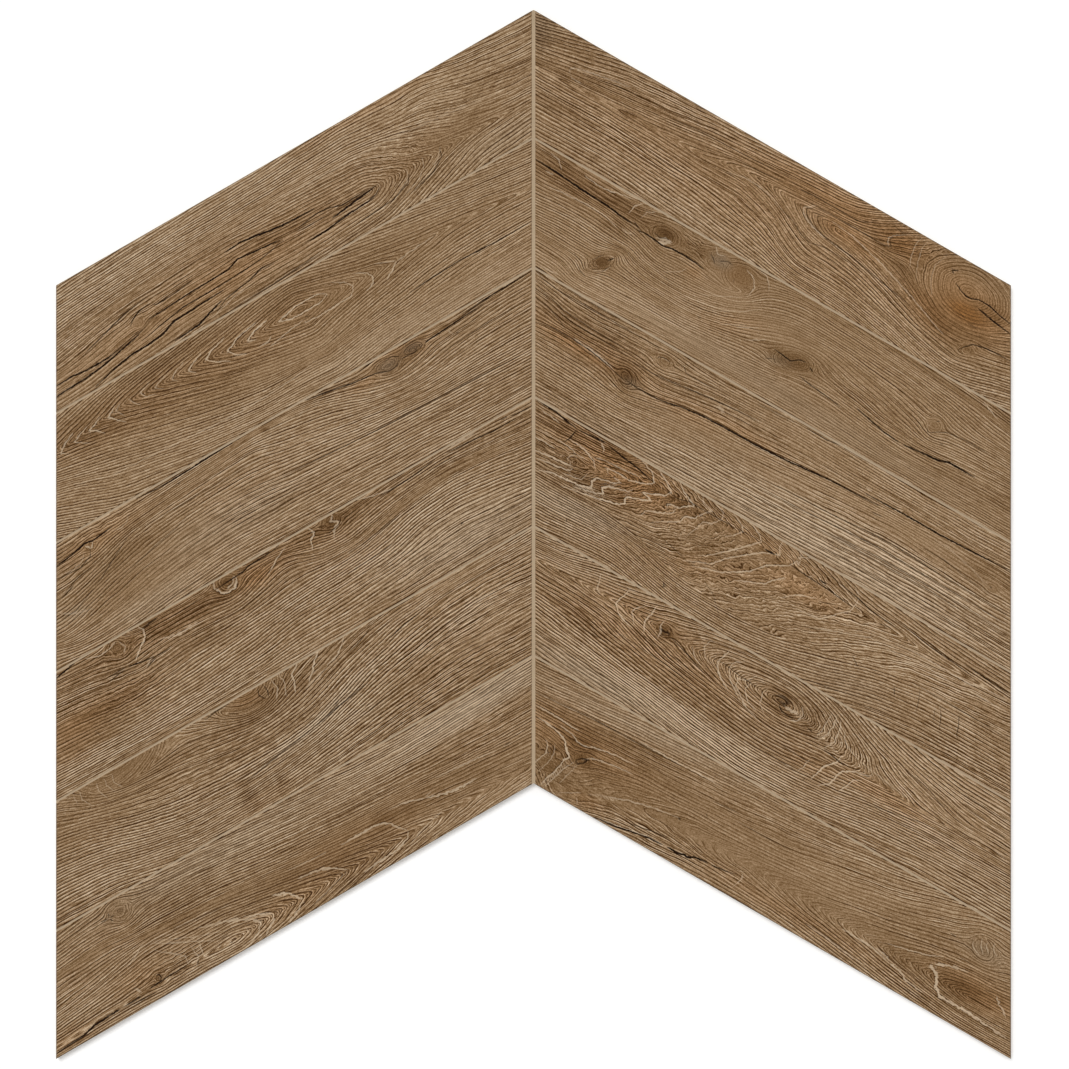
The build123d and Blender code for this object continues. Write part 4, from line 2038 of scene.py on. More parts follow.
LEFT_4 = PlankGrain(
    guides=tracks(
        (0, 3, 90, 1, 165, 5, 220, 10, 285, 4, 340, 5, 400, 6, 560, 0),
        (10, 22, 60, 17, 100, 14, 140, 17, 200, 25, 240, 24, 268, 12, 290, 18, 320, 24, 400, 24, 430, 26,
         460, 22, 500, 19, 560, 14),
        (20, 34, 60, 28, 100, 25, 140, 28, 200, 38, 240, 40, 285, 41, 350, 45, 420, 50, 450, 52, 500, 47,
         560, 44),
        (35, 58, 70, 52, 110, 48, 140, 50, 180, 58, 220, 60, 285, 62, 340, 70, 400, 74, 450, 76, 560, 73),
        (50, 80, 110, 77, 160, 80, 220, 84, 285, 86, 350, 90, 420, 92, 560, 90),
        (60, 97, 285, 99, 560, 99),
    ),
    knots=(
        Knot((324, 6), (12, 9)), Knot((440, 8), (9, 8)), Knot((215, 4), (8, 7)),
    ),
    strokes=strokes(Ink.CRACK,
        (1.4, 0.8, 3, 6, 15, 5, 25, 4),
        (1.2, 0.7, 26, 3, 34, 3),
        (1.5, 0.85, 20, 8, 45, 8, 62, 6, 92, 4),
        (1.5, 0.8, 104, 4, 130, 7, 165, 8),
        (1.1, 0.6, 84, 10, 115, 10),
        (1.5, 0.85, 265, 0, 275, 2, 300, 3, 306, 5, 324, 6, 340, 7),
        (1, 0.6, 346, 6, 375, 8, 392, 8),
        (1.8, 0.7, 395, 2, 412, 4),
        (1.8, 0.95, 480, 0, 490, 2, 503, 4),
        (1.6, 0.85, 398, 32, 412, 32, 432, 29, 445, 27, 460, 27),
        (1.3, 0.7, 412, 32, 420, 35, 426, 37),
        (1.3, 0.7, 440, 28, 450, 29, 462, 31),
        (1.2, 0.6, 155, 31, 175, 34, 200, 38, 215, 38),
        (1.2, 0.6, 172, 51, 195, 53, 225, 54),
        (1.3, 0.6, 208, 11, 222, 14),
        (1, 0.5, 85, 24, 100, 25),
        (2.2, 0.7, 110, 66, 113, 67),
        (2, 0.6, 155, 77, 158, 78),
        (2, 0.6, 78, 80, 81, 81),
        (2, 0.5, 88, 38, 90, 38),
        (2, 0.5, 347, 38, 349, 38),
        (1.4, 0.5, 380, 79, 380, 82),
        (1.4, 0.5, 493, 69, 495, 64),
    ) + strokes(Ink.LIME,
        (1.3, 0.6, 150, 7, 165, 5, 185, 0),
        (2.2, 0.6, 210, 0, 214, 5, 208, 9, 216, 14, 219, 20),
        (1.6, 0.75, 236, 0, 232, 6, 239, 12, 241, 19),
        (1.2, 0.6, 262, 5, 272, 9, 285, 17, 290, 20),
        (2.2, 0.7, 316, 0, 315, 8, 320, 14, 331, 14, 337, 5, 334, 0),
        (1.8, 0.5, 315, 2, 319, 9, 327, 12),
        (1.9, 0.75, 414, 0, 411, 6, 414, 13, 424, 20, 431, 26),
        (1.3, 0.6, 438, 2, 447, 5, 458, 6, 470, 2),
        (1.3, 0.5, 436, 4, 433, 10, 437, 15),
        (2.6, 0.45, 365, 24, 385, 25, 404, 20),
        (1.2, 0.5, 418, 32, 426, 36),
        (1.4, 0.5, 60, 1, 90, 1),
    ),
    patches=patches(Tone.WARM,
        (520, 60, 36, 22, 0.3), (330, 10, 190, 16, 0.3), (480, 52, 60, 14, 0.2), (298, 15, 22, 10, 0.5),
        (480, 45, 70, 12, 0.25),
    ) + patches(Tone.GREY,
        (120, 74, 100, 26, 0.5), (110, 85, 80, 16, 0.3),
    ) + patches(Tone.DARK,
        (175, 30, 40, 12, 0.22), (475, 90, 50, 12, 0.25), (80, 50, 40, 10, -0.15), (350, 12, 220, 16, 0.25),
        (360, 38, 110, 16, 0.22), (500, 38, 60, 16, 0.15), (110, 62, 80, 14, -0.15),
        (250, 62, 50, 12, 0.15), (500, 62, 60, 14, 0.25), (480, 88, 120, 14, -0.2), (210, 8, 40, 10, 0.4),
        (360, 14, 60, 8, 0.35), (405, 5, 12, 8, 0.5), (455, 52, 45, 10, 0.4), (324, 6, 7, 4, 0.5),
        (480, 30, 60, 20, 0.25),
    ) + patches(Tone.LIMED,
        (120, 70, 140, 40, 0.55), (300, 60, 140, 40, 0.55), (470, 50, 90, 44, 0.5), (150, 30, 120, 20, 0.5),
    ) + patches(Tone.INKED,
        (470, 88, 100, 12, 0.5),
    ) + patches(Tone.RIPPLE,
        (460, 48, 60, 24, 0.6), (225, 10, 50, 12, 0.7), (435, 12, 40, 12, 0.7),
    ) + patches(Tone.SOFT,
        (500, 56, 60, 22, 0.45), (180, 62, 40, 12, -0.3), (450, 88, 130, 14, -0.5),
    ),
    pitch=2.65,
    soft=-0.05,
    shade=0.1,
)

LEFT_5 = PlankGrain(
    guides=tracks(
        (0, 0, 150, 3, 185, 8, 215, 14, 250, 20, 300, 22, 350, 20, 400, 14, 450, 8, 500, 0, 560, -8),
        (10, 14, 60, 12, 100, 13, 130, 17, 160, 22, 200, 30, 250, 42, 290, 46, 340, 46, 400, 44, 440, 36,
         490, 23, 560, 16),
        (20, 35, 60, 31, 110, 34, 160, 40, 200, 47, 260, 58, 290, 61, 340, 64, 400, 63, 440, 55, 490, 42,
         530, 38, 560, 37),
        (40, 62, 120, 59, 180, 64, 240, 70, 285, 74, 340, 78, 400, 78, 440, 72, 490, 60, 530, 57, 560, 57),
        (55, 92, 120, 91, 170, 92, 230, 95, 285, 97, 340, 98, 400, 97, 450, 91, 490, 83, 530, 82, 560, 83),
        (60, 108, 285, 113, 400, 113, 490, 102, 560, 101),
    ),
    knots=(
        Knot((300, -4), (30, 20), 0, 14), Knot((428, -2), (46, 18), 0, 12),
    ),
    strokes=strokes(Ink.CRACK,
        (1.5, 0.8, 128, 16, 145, 18, 162, 22),
        (1.2, 0.6, 172, 5, 182, 9, 190, 12, 202, 15),
        (2, 0.65, 200, 47, 222, 51, 236, 53, 262, 58),
        (1.8, 0.6, 262, 58, 285, 61, 305, 64, 340, 70),
        (1.5, 0.8, 283, 2, 282, 8, 284, 13),
        (1.3, 0.75, 289, 2, 291, 8, 287, 14),
        (2.6, 0.75, 190, 94, 193, 95),
        (1.8, 0.5, 232, 31, 234, 33),
        (1.8, 0.5, 474, 19, 477, 20),
        (1.5, 0.6, 315, 0, 335, 1, 345, 3),
        (1, 0.45, 20, 11, 60, 13, 110, 13),
        (1.6, 0.6, 230, 48, 236, 50),
    ) + strokes(Ink.LIME,
        (1.4, 0.65, 198, 0, 203, 6, 212, 12, 224, 15),
        (1.7, 0.75, 224, 0, 232, 6, 238, 13, 246, 20),
        (1.7, 0.7, 246, 0, 256, 6, 257, 13, 261, 22),
        (1.3, 0.5, 266, 1, 265, 10, 270, 20),
        (1.3, 0.5, 274, 1, 273, 10, 279, 19),
        (1.4, 0.5, 226, 17, 240, 20, 252, 24),
        (1.3, 0.4, 443, 3, 445, 10, 440, 18),
        (1.3, 0.4, 451, 3, 452, 10, 448, 18),
        (1.3, 0.45, 459, 3, 461, 10, 457, 20),
        (1.3, 0.4, 476, 2, 478, 9, 473, 18),
        (1.2, 0.35, 483, 2, 484, 12),
        (1.2, 0.35, 110, 10, 150, 12, 175, 16),
    ),
    patches=patches(Tone.WARM,
        (302, 5, 18, 8, 0.45), (330, 92, 40, 8, 0.2),
    ) + patches(Tone.GREY,
        (245, 52, 60, 6, 0.7, 14), (210, 70, 20, 6, 0.4),
    ) + patches(Tone.DARK,
        (400, 8, 60, 11, -0.4), (70, 9, 60, 11, -0.15), (60, 62, 70, 14, -0.12), (60, 12, 80, 16, -0.2),
        (260, 12, 30, 14, 0.3), (110, 36, 100, 12, -0.1), (60, 62, 60, 12, -0.1), (300, 22, 60, 12, 0.35),
        (345, 85, 10, 14, 0.5), (312, 87, 10, 8, 0.4), (410, 12, 40, 12, 0.35), (535, 30, 40, 30, 0.2),
    ) + patches(Tone.LIMED,
        (90, 32, 90, 6, 0.4), (520, 70, 70, 30, 0.3),
    ) + patches(Tone.INKED,
        (150, 40, 130, 14, 0.45, 6), (245, 88, 60, 10, 0.5, 4), (520, 75, 60, 24, 0.45),
    ) + patches(Tone.RIPPLE,
        (400, 45, 70, 18, 0.5), (90, 75, 50, 14, 0.3),
    ) + patches(Tone.SOFT,
        (470, 34, 90, 16, 0.4), (140, 38, 170, 14, -0.7), (250, 62, 100, 14, -0.6),
        (420, 62, 60, 12, -0.25), (190, 88, 110, 14, -0.5), (510, 88, 60, 16, -0.3), (450, 10, 70, 14, 0.4),
    ),
    pitch=2.85,
    soft=-0.18,
    shade=0.07,
)

LEFT_6 = PlankGrain(
    guides=tracks(
        (0, -4, 60, 1, 150, 6, 285, 4, 350, 2, 400, -2, 430, -5, 480, -4, 560, 4),
        (15, 22, 60, 25, 120, 28, 200, 30, 285, 30, 350, 29, 400, 26, 430, 25, 470, 27, 520, 32, 560, 38),
        (30, 45, 80, 46, 150, 45, 200, 45, 285, 46, 350, 45, 400, 41, 440, 37, 470, 36, 520, 39, 560, 43),
        (35, 57, 60, 57, 100, 55, 165, 53, 200, 54, 285, 56, 350, 53, 400, 49, 435, 46, 450, 49, 500, 58,
         560, 66),
        (60, 84, 285, 85, 335, 86, 366, 87, 420, 86, 480, 88, 520, 90, 560, 92),
        (60, 110, 285, 110, 560, 108),
    ),
    hearts=(
        Heart((362, 86), left=(3.7, 150), right=(9, 40), roundness=1.5),
    ),
    knots=(
        Knot((440, 13), (11, 9)), Knot((440, 83), (4, 4)),
    ),
    strokes=strokes(Ink.CRACK,
        (1.8, 0.8, 450, 9, 452, 13, 450, 17),
        (1.5, 0.75, 446, 13, 460, 13),
        (1.8, 0.8, 437, 85, 438, 80, 441, 80),
        (2.2, 0.7, 400, 88, 403, 89),
        (2.2, 0.7, 365, 88, 367, 88),
        (1.7, 0.85, 412, 86, 432, 86, 450, 87, 462, 89),
        (2.3, 0.95, 452, 88, 475, 90, 495, 90, 512, 91, 525, 94, 556, 96),
        (1.6, 0.75, 448, 93, 470, 92, 485, 90),
        (2, 0.6, 455, 42, 457, 43),
        (2.2, 0.6, 517, 70, 519, 70),
        (2, 0.5, 215, 80, 217, 81),
        (1.4, 0.55, 55, 57, 62, 57),
        (1, 0.45, 365, 80, 375, 81),
        (1, 0.35, 350, 57, 385, 53, 410, 50),
        (0.9, 0.2, 190, 72, 230, 75, 250, 78),
    ) + strokes(Ink.LIME,
        (2.4, 0.6, 98, 70, 112, 70, 126, 69, 140, 65, 148, 62),
        (1.4, 0.55, 140, 60, 150, 62, 160, 58, 170, 56, 182, 55),
        (1.5, 0.5, 70, 57, 85, 55, 105, 53, 130, 51),
        (1.9, 0.6, 236, 61, 205, 61, 194, 62, 187, 67, 182, 74, 176, 80),
        (1.9, 0.65, 176, 80, 180, 86, 192, 90, 230, 93),
        (1.2, 0.45, 290, 57, 268, 59, 250, 60),
        (2.2, 0.6, 285, 68, 262, 71, 250, 77, 241, 84),
        (1.2, 0.35, 241, 84, 256, 88, 285, 96),
        (2.8, 0.7, 312, 70, 300, 74, 295, 80, 290, 87),
        (2.6, 0.6, 290, 87, 297, 92, 305, 96, 312, 98),
        (2.4, 0.65, 346, 74, 332, 78, 320, 84),
        (2.2, 0.55, 320, 84, 323, 90, 336, 98),
        (3, 0.5, 385, 62, 360, 69, 340, 78, 334, 86, 340, 92, 352, 98),
        (1.5, 0.4, 348, 82, 347, 90),
        (1.6, 0.4, 392, 74, 394, 86),
        (1.6, 0.45, 400, 72, 399, 84, 405, 91),
        (1.6, 0.4, 430, 60, 415, 72, 409, 78, 410, 86),
        (1.4, 0.4, 380, 78, 400, 68, 420, 58, 430, 52),
        (1.2, 0.35, 365, 76, 395, 66, 425, 52),
        (1.2, 0.4, 436, 48, 448, 55, 460, 60),
        (2.2, 0.5, 463, 81, 460, 86),
        (1.1, 0.45, 140, 80, 165, 86, 180, 92),
    ),
    patches=patches(Tone.WARM,
        (230, 68, 90, 24, 0.3), (300, 85, 70, 12, 0.25), (455, 75, 30, 16, 0.3), (550, 88, 40, 10, 0.3),
    ) + patches(Tone.GREY,
        (80, 10, 120, 14, 0.6), (350, 10, 160, 14, 0.5), (60, 10, 90, 14, 0.6, 4),
    ) + patches(Tone.DARK,
        (90, 93, 60, 12, -0.35), (370, 94, 80, 12, -0.25), (235, 70, 50, 12, -0.25),
        (80, 12, 110, 16, -0.2), (360, 12, 80, 14, -0.1), (220, 38, 100, 14, 0.2), (110, 62, 80, 14, 0.2),
        (260, 62, 160, 14, 0.15), (260, 88, 60, 14, 0.25), (440, 88, 60, 12, 0.2), (230, 76, 50, 14, 0.45),
        (190, 64, 20, 8, 0.3), (300, 66, 50, 8, 0.3), (395, 30, 40, 18, 0.3),
    ) + patches(Tone.LIMED,
        (90, 14, 130, 16, 0.6, 3), (250, 22, 130, 26, 0.5), (510, 62, 60, 16, 0.5),
    ) + patches(Tone.INKED,
        (280, 30, 150, 22, 0.4),
    ) + patches(Tone.RIPPLE,
        (420, 75, 45, 18, 0.7), (440, 15, 30, 12, 0.6), (100, 52, 60, 10, 0.4),
    ) + patches(Tone.SOFT,
        (200, 60, 190, 16, 0.6), (90, 80, 60, 20, 0.35), (330, 88, 250, 14, -0.4),
    ),
    pitch=2.15,
    shade=0.08,
)

RIGHT_1 = PlankGrain(
    guides=tracks(
        (0, 8, 20, 4, 50, -5, 90, -14, 560, -40),
        (0, 26, 20, 22, 50, 15, 80, 8, 110, 3, 150, 1, 285, 1, 330, 3, 345, 2, 370, -8, 400, -24, 560, -34),
        (20, 36, 55, 29, 100, 23, 150, 19, 200, 15, 285, 13, 330, 14, 350, 12, 375, 2, 400, -8, 440, -20,
         560, -24),
        (20, 39, 60, 34, 100, 31, 150, 26, 190, 21, 285, 21, 340, 20, 362, 18, 385, 10, 405, 0, 440, -8,
         480, -6, 520, 8, 560, 14),
        (30, 44, 100, 40, 200, 38, 240, 30, 285, 31, 303, 33, 340, 34, 385, 38, 420, 42, 470, 48, 560, 50),
        (35, 48, 100, 45, 200, 44, 230, 40, 250, 37, 270, 39, 290, 44, 305, 49, 320, 53, 340, 51, 380, 54,
         430, 62, 480, 70, 520, 66, 560, 62),
        (40, 60, 100, 59, 200, 61, 240, 62, 270, 65, 290, 70, 305, 76, 318, 79, 335, 77, 380, 76, 430, 80,
         480, 90, 500, 93, 530, 86, 560, 82),
        (50, 80, 120, 78, 200, 81, 285, 86, 320, 90, 380, 89, 430, 95, 490, 104, 560, 100),
        (60, 98, 140, 96, 200, 99, 285, 102, 560, 114),
    ),
    hearts=(
        Heart((340, 34), left=(3.6, 90), roundness=1.8),
    ),
    knots=(
        Knot((470, 25), (48, 31), 4, 24), Knot((494, 70), (7, 5), -40),
    ),
    strokes=strokes(Ink.CRACK,
        (1.2, 0.6, 135, 27, 148, 27, 156, 23, 190, 20, 240, 18, 290, 14),
        (1.8, 0.7, 145, 28, 152, 26, 156, 23),
        (1.3, 0.55, 230, 26, 255, 24, 290, 21),
        (1, 0.55, 92, 23, 104, 22, 120, 20),
        (1.5, 0.65, 270, 22, 305, 19, 350, 19, 358, 16, 364, 11, 366, 11),
        (1.3, 0.6, 380, 6, 390, 8, 397, 4),
        (1.5, 0.6, 398, 5, 390, 11, 384, 15, 384, 20, 388, 24, 382, 26, 330, 26, 312, 27),
        (1.5, 0.6, 312, 27, 304, 32, 306, 37, 317, 43, 332, 47, 362, 50, 400, 57, 430, 62),
        (1.2, 0.5, 275, 42, 300, 49, 311, 55, 322, 58, 335, 55, 380, 56),
        (2, 0.7, 450, 17, 447, 15, 452, 12),
        (1.6, 0.9, 455, 23, 463, 27, 469, 29, 474, 29, 481, 26, 492, 26, 505, 29, 518, 31),
        (2, 0.9, 484, 33, 500, 36, 522, 39),
        (1.6, 0.75, 488, 75, 491, 70, 497, 64, 510, 61, 530, 60),
        (0.9, 0.3, 38, 72, 60, 70, 90, 68),
        (1.6, 0.4, 470, 44, 485, 50, 500, 48),
        (1, 0.3, 460, 45, 475, 49, 490, 47, 498, 42),
    ) + strokes(Ink.LIME,
        (1.4, 0.45, 397, 6, 388, 12, 382, 17, 383, 22, 386, 25),
        (1.5, 0.5, 310, 26, 301, 33, 304, 38, 316, 44, 332, 48),
        (1.3, 0.5, 330, 31, 350, 33, 372, 38, 385, 41, 420, 52, 450, 63, 470, 70),
        (1.3, 0.45, 225, 40, 237, 37, 250, 36, 266, 38, 280, 42),
        (1.6, 0.45, 55, 34, 54, 30, 58, 27, 80, 22, 110, 17),
        (1.3, 0.4, 57, 34, 58, 36, 70, 37),
        (1.2, 0.4, 409, 2, 406, 10, 408, 22, 412, 32),
        (1.1, 0.35, 414, 3, 413, 12, 416, 24, 422, 38),
        (1.1, 0.3, 436, 6, 431, 18, 434, 32, 442, 44),
    ),
    patches=patches(Tone.WARM,
        (340, 14, 120, 18, 0.6), (480, 40, 60, 30, 0.8), (250, 50, 260, 50, 0.25),
        (350, 36, 50, 9, 0.55, 6), (395, 18, 22, 14, 0.5), (478, 42, 22, 9, 0.95),
        (450, 60, 40, 12, 0.4, 20),
    ) + patches(Tone.GREY,
        (12, 10, 26, 16, 0.5, 60), (315, 30, 14, 8, 0.3), (200, 90, 100, 12, 0.2),
    ) + patches(Tone.DARK,
        (90, 18, 60, 20, 0.2), (100, 68, 100, 13, 0.25), (470, 28, 60, 20, -0.28), (40, 12, 60, 16, 0.25),
        (400, 12, 40, 16, 0.2), (80, 38, 70, 14, 0.2), (230, 38, 80, 14, 0.2), (480, 38, 40, 16, 0.2),
        (60, 62, 40, 12, 0.2), (290, 64, 50, 10, -0.1), (480, 62, 50, 14, 0.25), (80, 88, 60, 14, 0.12),
        (12, 12, 26, 14, 0.5, 60), (400, 20, 40, 18, 0.3), (430, 50, 70, 10, 0.3, 24),
        (500, 30, 24, 12, 0.35),
    ) + patches(Tone.LIMED,
        (140, 75, 150, 26, 0.35), (400, 72, 110, 8, 0.5, 8),
    ) + patches(Tone.INKED,
        (400, 70, 110, 10, 0.6, 8), (505, 95, 40, 10, 0.6), (200, 12, 110, 12, 0.4),
    ) + patches(Tone.RIPPLE,
        (425, 15, 26, 22, 0.35),
    ) + patches(Tone.SOFT,
        (300, 38, 240, 12, 0.35), (160, 62, 90, 12, -0.5), (190, 12, 60, 14, -0.35),
        (170, 86, 60, 14, -0.35), (480, 60, 40, 14, 0.3),
    ),
    pitch=2.3,
    shade=-0.04,
)

RIGHT_2 = PlankGrain(
    guides=tracks(
        (0, -6, 60, -2, 110, 0, 150, -6, 220, -10, 285, -4, 400, 2, 480, 8, 560, 14),
        (5, 15, 60, 18, 115, 22, 150, 24, 195, 24, 225, 17, 245, 9, 265, 4, 285, 2, 340, 3, 400, 7, 460, 12,
         520, 18, 560, 22),
        (20, 31, 60, 28, 85, 28, 110, 32, 150, 37, 180, 35, 210, 31, 235, 26, 250, 18, 270, 12, 285, 9,
         340, 12, 400, 16, 440, 21, 480, 28, 530, 31, 560, 33),
        (25, 44, 60, 40, 110, 43, 150, 46, 190, 45, 220, 38, 250, 28, 285, 21, 340, 23, 400, 26, 430, 30,
         448, 37, 475, 38, 530, 38, 560, 39),
        (30, 58, 60, 55, 95, 56, 120, 54, 150, 57, 200, 57, 230, 51, 260, 42, 285, 36, 330, 36, 380, 41,
         420, 49, 445, 55, 470, 51, 530, 51, 560, 52),
        (40, 69, 80, 68, 110, 68, 150, 68, 200, 67, 240, 62, 275, 57, 305, 54, 340, 57, 380, 62, 410, 66,
         450, 66, 490, 63, 560, 62),
        (45, 77, 80, 76, 105, 82, 130, 82, 200, 79, 250, 75, 285, 71, 310, 67, 340, 69, 380, 75, 420, 79,
         480, 78, 560, 78),
        (50, 94, 80, 93, 110, 97, 150, 93, 200, 90, 285, 88, 400, 92, 560, 93),
    ),
    knots=(
        Knot((147, 17), (14, 9), 0, 6), Knot((221, 15), (18, 13), 0, 9), Knot((199, 11), (8, 6), -20),
        Knot((108, 66), (12, 5), -49), Knot((303, 57), (21, 9), -12, 4), Knot((446, 43), (7, 6)),
    ),
    strokes=strokes(Ink.CRACK,
        (2.2, 1, 8, 15, 35, 16, 60, 18, 88, 19, 102, 21, 118, 22),
        (1.8, 0.85, 114, 20, 122, 22),
        (1.7, 1, 119, 25, 128, 23.5, 137, 24, 148, 25.5, 158, 23.5, 172, 23, 184, 24, 192, 25.5),
        (1.4, 0.7, 135, 19, 143, 20, 148, 18, 152, 18),
        (1.4, 0.6, 190, 10, 195, 13, 198, 16),
        (1.6, 0.55, 200, 12, 207, 8, 213, 9),
        (1.2, 0.5, 220, 19, 221, 23),
        (1, 0.6, 100, 68, 103, 63, 106, 60),
        (1.8, 0.7, 112, 62, 116, 57),
        (1, 0.5, 112, 74, 117, 64),
        (1.6, 0.6, 82, 71, 84, 72),
        (2.2, 0.75, 209, 65, 211, 65),
        (2, 0.6, 457, 55, 460, 55),
        (1.5, 0.8, 283, 56, 294, 57, 302, 58, 308, 53, 315, 52),
        (1.4, 0.65, 319, 54, 325, 57),
        (1.2, 0.55, 281, 67, 290, 63),
        (1.4, 0.75, 315, 66, 330, 68, 352, 70, 362, 72),
        (1.8, 0.85, 375, 65, 390, 68, 405, 71, 418, 72.5, 428, 73),
        (2.2, 0.95, 425, 73, 440, 71.5, 452, 70, 462, 69.5, 473, 66, 485, 66, 500, 66),
        (1.1, 0.65, 439, 46, 442, 52, 446, 50, 450, 47, 458, 43, 475, 41, 500, 41),
        (1.3, 0.6, 444, 39, 447, 38),
        (1.1, 0.5, 88, 78, 95, 83, 102, 85),
        (0.9, 0.3, 150, 47, 180, 52),
    ) + strokes(Ink.LIME,
        (1.3, 0.5, 18, 3, 28, 5, 34, 11),
        (1.3, 0.6, 55, 5, 66, 7, 76, 7, 92, 4, 104, 2),
        (1.5, 0.6, 114, 1, 108, 7, 107, 15),
        (1.2, 0.45, 128, 2, 121, 6, 119, 13),
        (1.4, 0.5, 22, 20, 30, 19),
        (1.4, 0.55, 32, 31, 45, 29, 70, 27, 90, 28, 104, 32),
        (1.4, 0.5, 108, 30, 114, 31, 122, 30),
        (1.2, 0.35, 50, 46, 80, 43, 108, 45),
        (1.1, 0.45, 190, 1, 196, 7, 204, 5),
        (1.2, 0.55, 236, 1, 245, 2, 250, 8, 253, 13),
        (1.3, 0.55, 226, 6, 236, 10, 240, 17, 239, 27),
        (3, 0.75, 140, 22, 148, 19, 152, 19, 150, 23, 142, 24),
        (1.2, 0.35, 160, 46, 174, 38, 178, 32),
        (1.2, 0.3, 200, 47, 235, 30),
        (1.2, 0.35, 214, 55, 240, 42, 256, 30),
        (1.2, 0.45, 244, 56, 262, 46),
        (1.2, 0.4, 256, 62, 274, 52),
        (1.2, 0.35, 228, 62, 250, 50),
        (1, 0.4, 105, 77, 114, 72, 117, 66),
        (1.2, 0.55, 472, 2, 482, 6, 492, 10),
        (1.6, 0.4, 60, 97, 80, 96),
    ),
    patches=patches(Tone.WARM,
        (60, 14, 80, 16, 0.3), (185, 32, 12, 7, 0.4), (222, 14, 18, 12, 0.35), (240, 55, 30, 10, 0.3, -26),
    ) + patches(Tone.GREY,
        (202, 11, 12, 7, 0.9), (290, 64, 18, 6, 0.5, -12), (230, 86, 120, 14, 0.4),
        (400, 90, 120, 12, 0.35),
    ) + patches(Tone.DARK,
        (62, 8, 24, 10, -0.35), (215, 30, 40, 12, -0.28), (290, 48, 60, 10, -0.2), (110, 90, 90, 13, -0.22),
        (490, 62, 50, 14, -0.2), (260, 12, 90, 14, 0.15), (110, 12, 30, 12, 0.15), (70, 38, 50, 12, 0.2),
        (440, 38, 100, 14, -0.1), (500, 64, 50, 14, -0.25), (200, 88, 200, 12, -0.1),
        (520, 88, 50, 14, -0.25), (60, 14, 75, 15, 0.65), (105, 33, 14, 10, 0.4), (145, 13, 16, 8, 0.7),
        (175, 15, 16, 10, 0.45), (108, 66, 13, 6, 0.75, -49), (303, 56, 26, 11, 0.65, -12),
        (500, 4, 30, 8, 0.4, 14), (520, 75, 50, 26, 0.3), (470, 70, 40, 8, 0.3),
    ) + patches(Tone.LIMED,
        (70, 45, 60, 16, 0.45), (220, 45, 60, 18, 0.55, -26), (340, 16, 100, 12, 0.4),
        (200, 82, 110, 10, 0.5, -5),
    ) + patches(Tone.RIPPLE,
        (230, 50, 50, 18, 0.4), (180, 10, 60, 12, 0.5),
    ) + patches(Tone.SOFT,
        (290, 12, 110, 14, 0.25), (260, 38, 120, 14, 0.5), (280, 88, 260, 14, 0.35),
    ),
    pitch=2.15,
    soft=0.28,
    shade=0.02,
)

